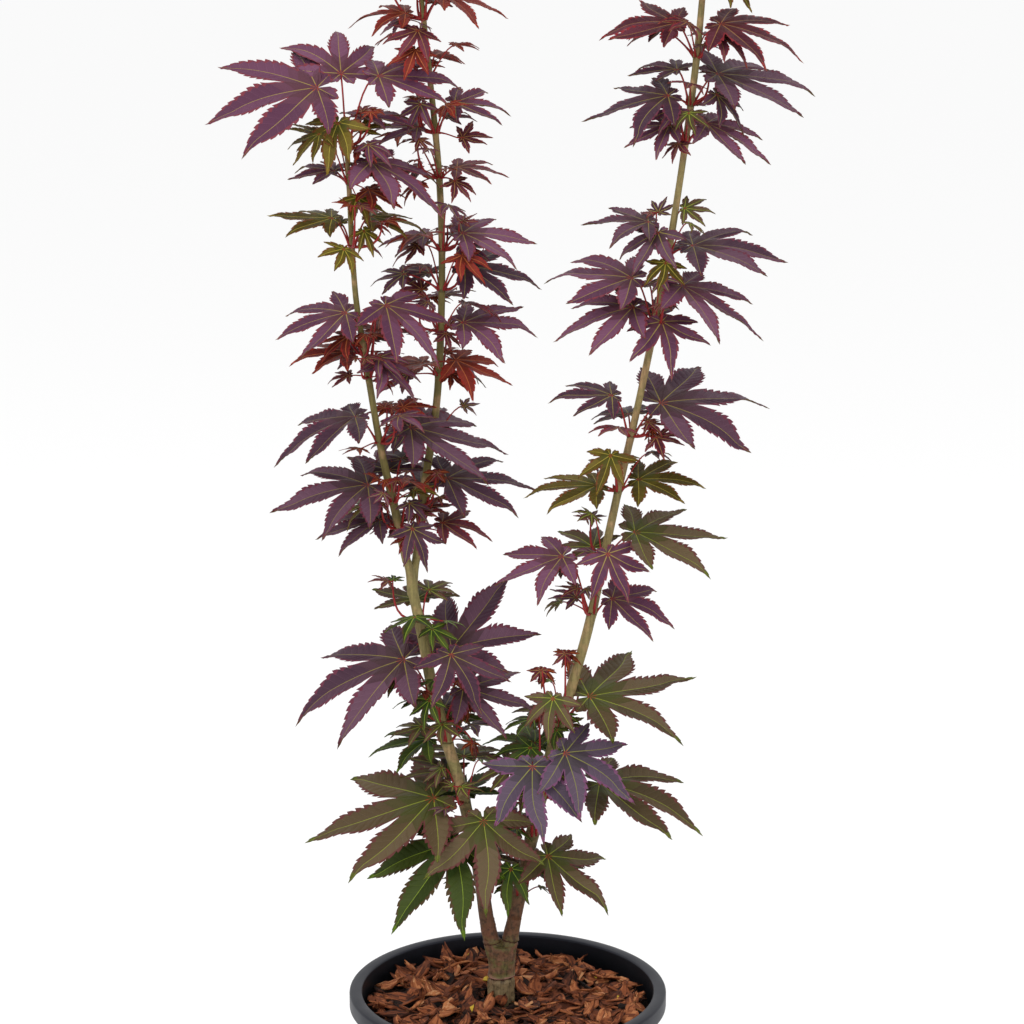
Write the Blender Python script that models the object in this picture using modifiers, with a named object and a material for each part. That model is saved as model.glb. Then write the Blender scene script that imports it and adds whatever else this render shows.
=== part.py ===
"""A young Japanese maple in a nursery pot.

The pot is filled with bark mulch. The trunk forks just above it into two boughs, and the left one forks
again, so three upright canes carry pairs of lobed leaves. The origin is the middle of the pot's flat
underside, +Z is up, +X is to the right and -Y is the front, where the light comes from.
"""
import math
import random

import bmesh
import bpy
from mathutils import Matrix, Vector
from mathutils.bvhtree import BVHTree

MM = 0.001
GAP = 0.3 * MM
WELD = 0.01 * MM

# Pot: turned, with a rolled rim, a collar and a step near the foot. Radii and heights.
POT_HEIGHT = 218.5 * MM
RIM_RADIUS = 112 * MM
RIM_WIDTH = 9 * MM
RIM_DEPTH = 12 * MM
COLLAR_RADIUS = 105 * MM
COLLAR_FOOT = 178 * MM
WALL_TOP_RADIUS = 101.5 * MM
FOOT_RADIUS = 89 * MM
STEP_HEIGHT = 26 * MM
STEP = 1.5 * MM
WALL = 1.8 * MM
FLOOR = 2.4 * MM
POT_FACETS = 32
DRAINS = 8
DRAIN_SIZE = (16 * MM, 12 * MM, 9 * MM)

# Mulch: crowned at the trunk, with a flat seat under it and a lumpy top.
MULCH_AT_TRUNK = 212.5 * MM
MULCH_AT_WALL = 208.5 * MM
SEAT_RADIUS = 15 * MM
MULCH_RINGS = 5
LUMP = 2.2 * MM

# Limbs: stations from foot to tip, each (x, y, height, diameter) in mm.
RING_SPACING = 25 * MM
LIMB_ROUNDNESS = 1
STEM_ROUNDNESS = 0
FOOT_LENGTH = 3 * MM
TRUNK = (
    (-4.8, 0, 212.8, 19), (-4.8, 0, 215, 18.6), (-4.5, 0, 228, 18.4), (-4.2, 0, 240, 19.4), (-4.2, 0, 250, 19),
)
TRUNK_FORKS = (
    ((-6.5, 0, 236, 14), (-12.5, 0, 257, 11.6), (-15, 0, 270, 10.6)),
    ((-2, 0, 236, 14), (2.6, 0, 259, 11.4), (5, 0, 272, 10.2)),
)
LEFT_BOUGH = (
    (-15, 0, 270, 10.6), (-20, -1, 305, 9.6), (-32, -2, 364, 8.6), (-42, -3, 400, 8.3), (-53, -3, 444, 8.2),
    (-58, -2, 472, 7.6), (-64.5, 0, 504, 7.2), (-65.5, 0, 512, 7.6),
)
BOUGH_FORKS = (
    ((-65.5, 0, 504, 7.2), (-67, -1, 521, 6.4), (-69.5, -2, 530, 6.2)),
    ((-65.5, 0, 504, 7.2), (-64, 3, 521, 6.2), (-62.5, 5, 530, 6)),
)
LEFT_CANE = (
    (-69.5, -2, 530, 6.2), (-78, -5, 571, 5.8), (-86.5, -7, 612, 4.8), (-95, -9, 667, 4.5),
    (-101, -10, 708, 3.9), (-103.5, -11, 748, 3.6), (-105, -12, 788, 3.4), (-106.5, -12, 815, 3),
)
MIDDLE_CANE = (
    (-62.5, 5, 530, 6), (-57, 11, 578, 5.7), (-48, 17, 640, 5.2), (-44.5, 20, 720, 4.6), (-46, 20, 788, 4.5),
    (-53, 18, 867, 3.8), (-59, 16, 925, 3.2), (-63, 15, 958, 2.6),
)
RIGHT_CANE = (
    (5, 0, 272, 10.2), (27.5, 2, 379, 8.6), (46, 3, 444, 7.4), (58, 4, 490, 6.6), (74.5, 5, 571, 5.5),
    (89.5, 5, 640, 4.9), (105, 4, 722, 4.9), (115, 3, 788, 4.5), (125, 2, 869, 4.6), (130.5, 1, 945, 3.8),
    (133, 0, 985, 3),
)

# Leaves: each lobe is (turn from the middle lobe in degrees, share of the leaf's length).
LOBES = ((-88, 0.64), (-43, 0.90), (0, 1.0), (43, 0.90), (88, 0.64))
LOBE_WIDEST = 0.42
LOBE_HALF_ANGLE = 18.5
SINUS = 0.25
PLAIN_NOTCH = 22
PLAIN_SINUS = 0.275
LEAF_DROOP = 0.16
LEAF_THICKNESS = 1.1 * MM
FULL_LEAF = 57 * MM
CLEAR_THICKNESS = 3.4 * MM
CLEAR_SCALE = 1.03

# Shoots: the short stem of each mass, and the petioles on it.
STEM_RADIUS = 1.7 * MM
STEM_TIP_RADIUS = 1.4 * MM
STEM_START = 4 * MM
STEM_OUT = 3 * MM
STEM_UP = 4 * MM
STEM_UP_SHARE = 0.45
PETIOLE_RADIUS = 0.9 * MM
PETIOLE_FOOT_RADIUS = 1 * MM
PETIOLE_SEAT = (6 * MM, 0.0, -0.25 * MM)
ROOT_DEPTH = 3.5 * MM
REACH_BASE = 6 * MM
REACH_SHARE = 0.16
LIGHT_TILT = 17.0
FRONT_HANG = 34.0

# The seeded rule: the sizes of the added leaves, each leaf's own dip and twist in degrees, how far a leaf may
# leave its mass, and how far a later try may stray from the first.
MORE_SHARES = (0.5, 0.72)
MORE_RISES = (2 * MM, 26 * MM)
MORE_SWING = 55
DIPS = (-6, 9)
TWIST = 8
SPACE_SHARE = 1.7
LEAST_SPACE = 80 * MM
TRIES = 14
STEM_STRAY = 80
PAIR_SPREAD = 0.8
BACK = 90.0
OUTSIDE = 30 * MM
TURN_STRAY = 34
OUT_STRAY = 18 * MM
UP_STRAY = (-9 * MM, 16 * MM)
DIP_STRAY = (-14, 26)
SHRINK = 0.22

# Leaf masses, from the foot of each limb up. Each is (height of its joint, tint, leaves, more), where a leaf
# is (bearing in degrees, 0 to the right and -90 to the front, length, rise of its base, and its reach where
# its petiole is a long one) and more is how many smaller leaves the rule adds. Lengths are in mm.
RIGHT_MASSES = (
    (287, "green", ((-125, 40, 20),), 1),
    (294, "bronze", ((-38, 64, 26),), 1),
    (330, "violet", ((-90, 58, 62, 36), (-46, 64, 70, 34)), 1),
    (357, "bronze", ((-10, 80, 14, 42),), 2),
    (372, "green", ((105, 52, 18), (-150, 34, 24)), 1),
    (413, "bronze", ((-10, 88, 19), (172, 42, 38)), 2),
    (490, "purple", ((200, 56, 42, 22), (-66, 42, 42, 20), (-10, 50, 11)), 1),
    (530, "bronze", ((160, 58, 10), (0, 75, 13)), 2),
    (576, "green", ((182, 53, 4), (0, 48, 8)), 2),
    (614, "dusk", ((180, 45, 28), (0, 88, 23)), 2),
    (691, "purple", ((170, 63, 31), (192, 58, 12), (-15, 74, 26)), 2),
    (738, "dusk", ((180, 47, 22), (5, 68, 6)), 2),
    (813, "purple", ((202, 36, 12), (-22, 54, 13)), 2),
    (838, "dusk", ((188, 60, 6), (10, 75, 20)), 2),
    (869, "wine", ((168, 54, 22), (-15, 61, 22)), 2),
    (917, "dusk", ((184, 50, 14), (4, 56, 16)), 3),
    (953, "wine", ((105, 42, 12), (-70, 40, 12)), 2),
    (983, "purple", ((176, 44, 12), (2, 48, 12)), 2),
)
BOUGH_MASSES = (
    (300, "bronze", ((-84, 66, 50, 25),), 1),
    (327, "green", ((228, 79, 4),), 1),
    (357, "bronze", ((190, 96, 3), (100, 54, 14)), 1),
    (400, "green", ((182, 46, 2), (80, 44, 10)), 2),
    (415, "dusk", ((-8, 60, 24),), 2),
    (436, "dusk", ((190, 92, 24), (48, 78, 27)), 2),
    (486, "bronze", ((100, 50, 12), (-80, 36, 4)), 1),
)
LEFT_MASSES = (
    (552, "dusk", ((188, 46, 6), (-60, 34, 4)), 2),
    (571, "dusk", ((190, 70, 12), (85, 50, 14)), 2),
    (612, "dusk", ((190, 66, 18), (-8, 83, 10)), 2),
    (657, "purple", ((192, 56, 44), (-36, 58, 50)), 2),
    (672, "red", ((185, 42, 2), (60, 44, 10)), 2),
    (745, "olive", ((180, 45, 19), (0, 40, 20)), 2),
    (787, "purple", ((-20, 65, 15), (150, 36, 8)), 2),
    (812, "purple", ((180, 80, 38), (105, 58, 42), (12, 68, 40)), 1),
)
MIDDLE_MASSES = (
    (548, "wine", ((-12, 43, 6), (165, 34, 4)), 1),
    (566, "dusk", ((0, 68, 18), (95, 50, 10)), 2),
    (608, "dusk", ((110, 50, 14), (-80, 38, 8)), 2),
    (654, "red", ((-20, 42, 11), (172, 36, 8)), 2),
    (684, "purple", ((0, 57, 6), (150, 42, 10)), 2),
    (712, "dusk", ((2, 59, 17), (205, 34, 10)), 1),
    (739, "purple", ((-10, 52, 12), (178, 36, 10)), 2),
    (788, "wine", ((0, 38, 7), (182, 34, 8)), 2),
    (818, "purple", ((2, 43, 20), (180, 36, 4)), 2),
    (856, "red", ((92, 36, 8), (-85, 32, 6)), 2),
    (893, "red", ((180, 38, 4), (-5, 48, 16)), 2),
    (926, "wine", ((95, 36, 10), (-88, 34, 8)), 2),
    (956, "purple", ((172, 38, 10), (-6, 42, 12)), 1),
)

# Colours in linear light, and roughness.
FINISHES = {
    "pot": ((0.024, 0.027, 0.031), 0.42),
    "mulch": ((0.230, 0.058, 0.022), 0.92),
    "trunk": ((0.165, 0.125, 0.085), 0.80),
    "cane": ((0.190, 0.180, 0.075), 0.55),
    "purple": ((0.141, 0.065, 0.102), 0.50),
    "dusk": ((0.072, 0.036, 0.052), 0.50),
    "violet": ((0.095, 0.072, 0.105), 0.50),
    "wine": ((0.150, 0.034, 0.046), 0.50),
    "red": ((0.190, 0.034, 0.026), 0.50),
    "bronze": ((0.098, 0.080, 0.052), 0.50),
    "green": ((0.050, 0.078, 0.026), 0.50),
    "olive": ((0.110, 0.100, 0.030), 0.50),
}


def finish(node, kind):
    """The piece's own material."""
    colour, roughness = FINISHES[kind]
    material = bpy.data.materials.new(f"{node}_finish")
    material.use_nodes = True
    shader = material.node_tree.nodes["Principled BSDF"]
    shader.inputs["Base Color"].default_value = (*colour, 1.0)
    shader.inputs["Roughness"].default_value = roughness
    return material


def add_piece(node, mesh, kind, parent, location=(0.0, 0.0, 0.0)):
    """A finished piece in the object's collection, hung on its parent."""
    mesh.name = node
    mesh.materials.clear()
    mesh.materials.append(finish(node, kind))
    piece = bpy.data.objects.new(node, mesh)
    bpy.data.collections["potted_maple"].objects.link(piece)
    piece.location = location
    piece.parent = parent
    return piece


def evaluated_mesh(thing):
    """The mesh that an object's modifiers or curve settings give."""
    return bpy.data.meshes.new_from_object(thing.evaluated_get(bpy.context.evaluated_depsgraph_get()))


def turned_mesh(profile, facets):
    """A solid turned round Z from a profile that runs up the inside and down the outside."""
    outline = bpy.data.meshes.new("profile")
    links = [(index, index + 1) for index in range(len(profile) - 1)]
    outline.from_pydata([(radius, 0.0, height) for radius, height in profile], links, [])
    blank = bpy.data.objects.new("profile", outline)
    bpy.context.scene.collection.objects.link(blank)
    screw = blank.modifiers.new("turn", "SCREW")
    screw.steps = screw.render_steps = facets
    screw.use_merge_vertices = True
    screw.merge_threshold = WELD
    mesh = evaluated_mesh(blank)
    bpy.data.objects.remove(blank, do_unlink=True)
    return mesh


def tube_mesh(places, radii, roundness):
    """A closed tube along places, with a radius at each."""
    curve = bpy.data.curves.new("tube", "CURVE")
    curve.dimensions = "3D"
    curve.bevel_depth = 1.0
    curve.bevel_resolution = roundness
    curve.use_fill_caps = True
    spline = curve.splines.new("POLY")
    spline.points.add(len(places) - 1)
    for point, place, radius in zip(spline.points, places, radii):
        point.co = (*place, 1.0)
        point.radius = radius
    guide = bpy.data.objects.new("tube", curve)
    bpy.context.scene.collection.objects.link(guide)
    mesh = evaluated_mesh(guide)
    bpy.data.objects.remove(guide, do_unlink=True)
    shape = bmesh.new()
    shape.from_mesh(mesh)
    bmesh.ops.remove_doubles(shape, verts=shape.verts, dist=WELD)
    bmesh.ops.recalc_face_normals(shape, faces=shape.faces)
    shape.to_mesh(mesh)
    shape.free()
    return mesh


def main_body(mesh):
    """Drops a mesh's loose scraps and sealed hollows; tells if what is left is closed."""
    shape = bmesh.new()
    shape.from_mesh(mesh)
    left = set(shape.faces)
    bodies = []
    while left:
        front = [left.pop()]
        body = []
        while front:
            face = front.pop()
            body.append(face)
            for edge in face.edges:
                for near in edge.link_faces:
                    if near in left:
                        left.remove(near)
                        front.append(near)
        bodies.append(body)
    largest = max(bodies, key=lambda body: sum(face.calc_area() for face in body))
    spare = [face for body in bodies if body is not largest for face in body]
    bmesh.ops.delete(shape, geom=spare, context="FACES")
    closed = all(len(edge.link_faces) == 2 for edge in shape.edges) and shape.calc_volume(signed=True) > 0
    shape.to_mesh(mesh)
    shape.free()
    return closed


def fused_mesh(meshes):
    """One closed mesh from meshes that run into each other, or None if neither solver closes it."""
    group = bpy.data.collections.new("to_join")
    bpy.context.scene.collection.children.link(group)
    base = bpy.data.objects.new("base", meshes[0])
    bpy.context.scene.collection.objects.link(base)
    for mesh in meshes[1:]:
        group.objects.link(bpy.data.objects.new("to_join", mesh))
    union = base.modifiers.new("join", "BOOLEAN")
    union.operation = "UNION"
    union.operand_type = "COLLECTION"
    union.collection = group
    result = None
    for solver in ("EXACT", "MANIFOLD"):
        union.solver = solver
        mesh = evaluated_mesh(base)
        if len(mesh.polygons) and main_body(mesh):
            result = mesh
            break
    for joined in list(group.objects):
        bpy.data.objects.remove(joined, do_unlink=True)
    bpy.data.collections.remove(group)
    bpy.data.objects.remove(base, do_unlink=True)
    return result


def smooth_round(mesh):
    """Smooth shading with the real corners kept sharp."""
    mesh.shade_smooth()
    mesh.set_sharp_from_angle(angle=math.radians(40))


def make_pot(parent):
    """The turned pot, with drain slots cut through the corner between its wall and its floor."""
    rim_inside = RIM_RADIUS - RIM_WIDTH
    profile = (
        (0.0, FLOOR),
        (FOOT_RADIUS - STEP - WALL, FLOOR),
        (FOOT_RADIUS - WALL, STEP_HEIGHT),
        (WALL_TOP_RADIUS - WALL, COLLAR_FOOT),
        (COLLAR_RADIUS - WALL, COLLAR_FOOT + 3 * MM),
        (rim_inside, POT_HEIGHT - 3 * MM),
        (rim_inside + 2.5 * MM, POT_HEIGHT),
        (RIM_RADIUS - 2.5 * MM, POT_HEIGHT),
        (RIM_RADIUS, POT_HEIGHT - 2.5 * MM),
        (RIM_RADIUS, POT_HEIGHT - RIM_DEPTH),
        (RIM_RADIUS - 2 * MM, POT_HEIGHT - RIM_DEPTH),
        (COLLAR_RADIUS + 1.5 * MM, POT_HEIGHT - RIM_DEPTH + 2 * MM),
        (COLLAR_RADIUS, COLLAR_FOOT),
        (WALL_TOP_RADIUS, COLLAR_FOOT - 2 * MM),
        (FOOT_RADIUS + STEP, STEP_HEIGHT + 2 * MM),
        (FOOT_RADIUS, STEP_HEIGHT),
        (FOOT_RADIUS - STEP, 0.0),
        (0.0, 0.0),
    )
    pot = add_piece("pot", turned_mesh(profile, POT_FACETS), "pot", parent)
    for index in range(DRAINS):
        turn = Matrix.Rotation(2 * math.pi * (index + 0.5) / DRAINS, 4, "Z")
        place = turn @ Matrix.Translation((FOOT_RADIUS - STEP, 0.0, 0.0))
        shape = bmesh.new()
        bmesh.ops.create_cube(shape, size=1.0, matrix=place @ Matrix.Diagonal((*DRAIN_SIZE, 1.0)))
        slot = bpy.data.meshes.new("drain")
        shape.to_mesh(slot)
        shape.free()
        cutter = bpy.data.objects.new(f"drain_cutter_{index + 1}", slot)
        cutter.hide_render = True
        cutter.display_type = "WIRE"
        bpy.data.collections["cutters"].objects.link(cutter)
        cut = pot.modifiers.new(f"drain_{index + 1}", "BOOLEAN")
        cut.operation = "DIFFERENCE"
        cut.object = cutter
    smooth_round(pot.data)
    return pot


def make_mulch(parent):
    """The bark mulch that fills the pot, 0.3 mm clear of it."""
    foot = FOOT_RADIUS - STEP - WALL - GAP
    step = FOOT_RADIUS - WALL - GAP
    neck = WALL_TOP_RADIUS - WALL - GAP
    edge = neck + (COLLAR_RADIUS - WALL_TOP_RADIUS) * 0.9
    profile = [(0.0, MULCH_AT_TRUNK), (SEAT_RADIUS, MULCH_AT_TRUNK)]
    for ring in range(1, MULCH_RINGS + 1):
        share = ring / MULCH_RINGS
        radius = SEAT_RADIUS + (edge - SEAT_RADIUS) * share
        profile.append((radius, MULCH_AT_TRUNK + (MULCH_AT_WALL - MULCH_AT_TRUNK) * share ** 1.5))
    profile += [(edge, COLLAR_FOOT + 5 * MM), (neck, COLLAR_FOOT - GAP), (step, STEP_HEIGHT)]
    profile += [(foot, FLOOR + GAP), (0.0, FLOOR + GAP)]
    mesh = turned_mesh(profile, POT_FACETS)
    chance = random.Random(7)
    for vertex in mesh.vertices:
        radius = math.hypot(vertex.co.x, vertex.co.y)
        if vertex.co.z > MULCH_AT_WALL - MM and SEAT_RADIUS + MM < radius < edge - MM:
            vertex.co.z += chance.uniform(-LUMP, LUMP)
    return add_piece("bark_mulch", mesh, "mulch", parent)


def smooth_stations(stations, spacing):
    """Places and radii in metres along a smooth curve through a limb's stations."""
    rows = [Vector((x, y, height, diameter / 2)) * MM for x, y, height, diameter in stations]
    rows = [rows[0] * 2 - rows[1]] + rows + [rows[-1] * 2 - rows[-2]]
    path = []
    for before, start, end, after in zip(rows, rows[1:], rows[2:], rows[3:]):
        steps = max(1, round((end.xyz - start.xyz).length / spacing))
        for step in range(steps):
            t = step / steps
            bend = (2 * before - 5 * start + 4 * end - after) * t ** 2
            swing = (3 * start - before - 3 * end + after) * t ** 3
            path.append((2 * start + (end - before) * t + bend + swing) / 2)
    path.append(rows[-2])
    return path


def limb_mesh(stations, carrier=None):
    """One tapering limb; its foot faces the stump that carries it, just clear of it."""
    path = smooth_stations(stations, RING_SPACING)
    places = [row.xyz for row in path]
    radii = [row.w for row in path]
    if carrier:
        way = (Vector(carrier[-1][:3]) - Vector(carrier[-2][:3])).normalized()
        places[:1] = [places[0] + way * GAP, places[0] + way * FOOT_LENGTH]
        radii.insert(0, radii[0])
    return tube_mesh(places, radii, LIMB_ROUNDNESS)


def forked_mesh(stations, forks, carrier=None):
    """A limb whose top parts into two short stumps."""
    meshes = [limb_mesh(stations, carrier)]
    for fork in forks:
        places = [Vector(row[:3]) * MM for row in fork]
        meshes.append(tube_mesh(places, [row[3] / 2 * MM for row in fork], LIMB_ROUNDNESS))
    return fused_mesh(meshes)


def world_tree(mesh):
    """A search tree of a mesh's faces."""
    places = [vertex.co.copy() for vertex in mesh.vertices]
    return BVHTree.FromPolygons(places, [tuple(face.vertices) for face in mesh.polygons])


def blade_mesh(length, thickness, scale=1.0):
    """A leaf blade with its petiole's end at the origin, its middle lobe along +X and its face up."""
    full = length >= FULL_LEAF
    shape = bmesh.new()
    hub = shape.verts.new((0.0, 0.0, 0.0))

    def rim(turn, share):
        reach = share * length * scale
        angle = math.radians(turn)
        height = -LEAF_DROOP * share * share * length
        return shape.verts.new((reach * math.cos(angle), reach * math.sin(angle), height))

    after = None
    for index, (turn, share) in enumerate(LOBES):
        last = index == len(LOBES) - 1
        before = after
        if full:
            right = rim(turn - LOBE_HALF_ANGLE, share * LOBE_WIDEST)
            tip = rim(turn, share)
            left = rim(turn + LOBE_HALF_ANGLE, share * LOBE_WIDEST)
            shape.faces.new((hub, right, left))
            shape.faces.new((right, tip, left))
            if before:
                shape.faces.new((hub, before, right))
            if not last:
                after = rim((turn + LOBES[index + 1][0]) / 2, SINUS)
                shape.faces.new((hub, left, after))
        else:
            before = before or rim(turn - LOBE_HALF_ANGLE, share * LOBE_WIDEST)
            tip = rim(turn, share)
            side = (turn + LOBE_HALF_ANGLE, share * LOBE_WIDEST)
            after = rim(*side) if last else rim(turn + PLAIN_NOTCH, PLAIN_SINUS)
            shape.faces.new((hub, before, tip))
            shape.faces.new((hub, tip, after))
    shape.normal_update()
    bmesh.ops.solidify(shape, geom=shape.faces[:], thickness=thickness)
    middle = sum(vertex.co.z for vertex in shape.verts if vertex.co.xy.length < MM) / 2
    bmesh.ops.translate(shape, verts=shape.verts, vec=(0.0, 0.0, -middle))
    bmesh.ops.recalc_face_normals(shape, faces=shape.faces)
    mesh = bpy.data.meshes.new("blade")
    shape.to_mesh(mesh)
    shape.free()
    return mesh


def petiole_mesh(start, end):
    """A slender three-sided stalk from start to end."""
    way = end - start
    shape = bmesh.new()
    turn = way.to_track_quat("Z", "Y").to_matrix().to_4x4()
    bmesh.ops.create_cone(shape, cap_ends=True, segments=3, radius1=PETIOLE_FOOT_RADIUS,
                          radius2=PETIOLE_RADIUS, depth=way.length,
                          matrix=Matrix.Translation((start + end) / 2) @ turn)
    bmesh.ops.recalc_face_normals(shape, faces=shape.faces)
    mesh = bpy.data.meshes.new("petiole")
    shape.to_mesh(mesh)
    shape.free()
    return mesh


def heading(bearing):
    """The level direction of a bearing in degrees."""
    return Vector((math.cos(math.radians(bearing)), math.sin(math.radians(bearing)), 0.0))


def natural_reach(length):
    """How far from its limb's middle a leaf of some length starts."""
    return REACH_BASE + REACH_SHARE * length


def leaf_frame(hub, bearing, dip, twist):
    """Places a blade at hub, turned to a bearing, dipped at its tip and tilted towards the light."""
    turn = Matrix.Rotation(math.radians(LIGHT_TILT), 4, "X") @ Matrix.Rotation(math.radians(bearing), 4, "Z")
    turn = turn @ Matrix.Rotation(math.radians(dip), 4, "Y") @ Matrix.Rotation(math.radians(twist), 4, "X")
    return Matrix.Translation(hub) @ turn


class Crown:
    """Remembers what stands where, so that each new leaf keeps clear of limbs and other leaves."""

    def __init__(self):
        self.trees = []

    def add(self, mesh):
        places = [vertex.co for vertex in mesh.vertices]
        middle = sum(places, Vector()) / len(places)
        self.trees.append((middle, max((place - middle).length for place in places), world_tree(mesh)))

    def touches(self, mesh):
        places = [vertex.co for vertex in mesh.vertices]
        middle = sum(places, Vector()) / len(places)
        size = max((place - middle).length for place in places)
        tree = world_tree(mesh)
        near = [other for place, reach, other in self.trees if (place - middle).length < reach + size]
        return any(tree.overlap(other) for other in near)


def limb_point(path, height):
    """The middle of a limb at a height."""
    for low, high in zip(path, path[1:]):
        if low.z <= height <= high.z:
            return low.xyz.lerp(high.xyz, (height - low.z) / (high.z - low.z))
    return path[-1].xyz.copy()


def grow_mass(crown, limb_tree, path, row, seed):
    """One mass: a short stem just clear of its limb, petioles that branch from it, and a leaf on each."""
    height, _, leaves, more = row
    chance = random.Random(seed)
    joint = limb_point(path, height * MM)
    middle = sum((heading(leaf[0]) for leaf in leaves), Vector())
    stem_bearing = math.degrees(math.atan2(middle.y, middle.x)) if middle.length > PAIR_SPREAD else BACK
    lift = min(leaf[2] for leaf in leaves) * MM
    for attempt in range(TRIES):
        outward = heading(stem_bearing + chance.uniform(-STEM_STRAY, STEM_STRAY) * attempt / TRIES)
        hit, normal, _, _ = limb_tree.ray_cast(joint + outward * OUTSIDE, -outward)
        root = hit + normal * GAP
        knee = root + normal * STEM_START
        tip = knee + outward * STEM_OUT + Vector((0.0, 0.0, max(STEM_UP, lift * STEM_UP_SHARE)))
        stem = tube_mesh([root, knee, tip], [STEM_RADIUS, STEM_RADIUS, STEM_TIP_RADIUS], STEM_ROUNDNESS)
        if not crown.touches(stem):
            break
    wanted = []
    for bearing, length, rise, *reach in leaves:
        wanted.append((bearing, length * MM, rise * MM, reach[0] * MM if reach else natural_reach(length * MM)))
    average = sum(leaf[1] for leaf in leaves) / len(leaves) * MM
    for index in range(more):
        side = BACK if index % 2 == 0 else -BACK
        length = average * chance.uniform(*MORE_SHARES)
        bearing = side + chance.uniform(-MORE_SWING, MORE_SWING)
        wanted.append((bearing, length, chance.uniform(*MORE_RISES), natural_reach(length)))
    stalks = []
    blades = []
    home = joint + Vector((0.0, 0.0, lift))
    space = max(average * SPACE_SHARE, LEAST_SPACE)
    start = tip - (tip - knee).normalized() * ROOT_DEPTH
    for bearing, length, rise, reach in wanted:
        dip = chance.uniform(*DIPS)
        twist = chance.uniform(-TWIST, TWIST)
        for attempt in range(TRIES):
            loose = attempt / TRIES
            turn = bearing + chance.uniform(-TURN_STRAY, TURN_STRAY) * loose
            out = reach + chance.uniform(0, OUT_STRAY) * loose
            up = rise + chance.uniform(*UP_STRAY) * loose
            size = length * (1.0 - SHRINK * loose)
            hang = dip + chance.uniform(*DIP_STRAY) * loose
            hang += FRONT_HANG * max(0.0, -math.sin(math.radians(turn)))
            place = leaf_frame(joint + heading(turn) * out + Vector((0.0, 0.0, up)), turn, hang, twist)
            if (place @ Vector((size, 0.0, 0.0)) - home).length > space:
                continue
            wide = blade_mesh(size, CLEAR_THICKNESS, CLEAR_SCALE)
            wide.transform(place)
            stalk = petiole_mesh(start, place @ Vector(PETIOLE_SEAT))
            if crown.touches(wide) or crown.touches(stalk):
                continue
            blade = blade_mesh(size, LEAF_THICKNESS)
            blade.transform(place)
            crown.add(blade)
            blades.append(blade)
            stalks.append(stalk)
            break
    for stalk in (*stalks, stem):
        crown.add(stalk)
    return root, [stem] + [mesh for pair in zip(stalks, blades) for mesh in pair]


def build():
    """The whole object."""
    for thing in list(bpy.data.objects):
        bpy.data.objects.remove(thing, do_unlink=True)
    for name in ("potted_maple", "cutters"):
        bpy.context.scene.collection.children.link(bpy.data.collections.new(name))
    stand = bpy.data.objects.new("potted_maple", None)
    bpy.data.collections["potted_maple"].objects.link(stand)

    make_pot(stand)
    make_mulch(stand)

    crown = Crown()
    limbs = (
        ("trunk", forked_mesh(TRUNK, TRUNK_FORKS), TRUNK, "trunk", ()),
        ("left_bough", forked_mesh(LEFT_BOUGH, BOUGH_FORKS, TRUNK_FORKS[0]), LEFT_BOUGH, "cane", BOUGH_MASSES),
        ("right_cane", limb_mesh(RIGHT_CANE, TRUNK_FORKS[1]), RIGHT_CANE, "cane", RIGHT_MASSES),
        ("left_cane", limb_mesh(LEFT_CANE, BOUGH_FORKS[0]), LEFT_CANE, "cane", LEFT_MASSES),
        ("middle_cane", limb_mesh(MIDDLE_CANE, BOUGH_FORKS[1]), MIDDLE_CANE, "cane", MIDDLE_MASSES),
    )
    pieces = {}
    for node, mesh, _, kind, _ in limbs:
        crown.add(mesh)
        pieces[node] = add_piece(node, mesh, kind, stand)
        smooth_round(mesh)
    for node, mesh, stations, _, masses in limbs:
        path = smooth_stations(stations, RING_SPACING)
        limb_tree = world_tree(mesh)
        for index, row in enumerate(masses, start=1):
            root, solids = grow_mass(crown, limb_tree, path, row, f"{node} {row[0]}")
            mesh = fused_mesh(solids)
            while mesh is None:
                solids = solids[:-2]
                mesh = fused_mesh(solids)
            mesh.transform(Matrix.Translation(-root))
            add_piece(f"{node}_leaves_{index}", mesh, row[1], stand, root)


build()
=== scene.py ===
"""A young Japanese maple in a black nursery pot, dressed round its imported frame.

Metres, +Z up, +X to the right, -Y to the front. The pot, its filling, the limbs, the shoots, the young
growth, the leaf blades and the petioles follow in the order in which the plant is put together.
"""

import math
import random

import bmesh
import bpy
import numpy as np
from mathutils import Matrix, Vector, noise
from mathutils.bvhtree import BVHTree


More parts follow.
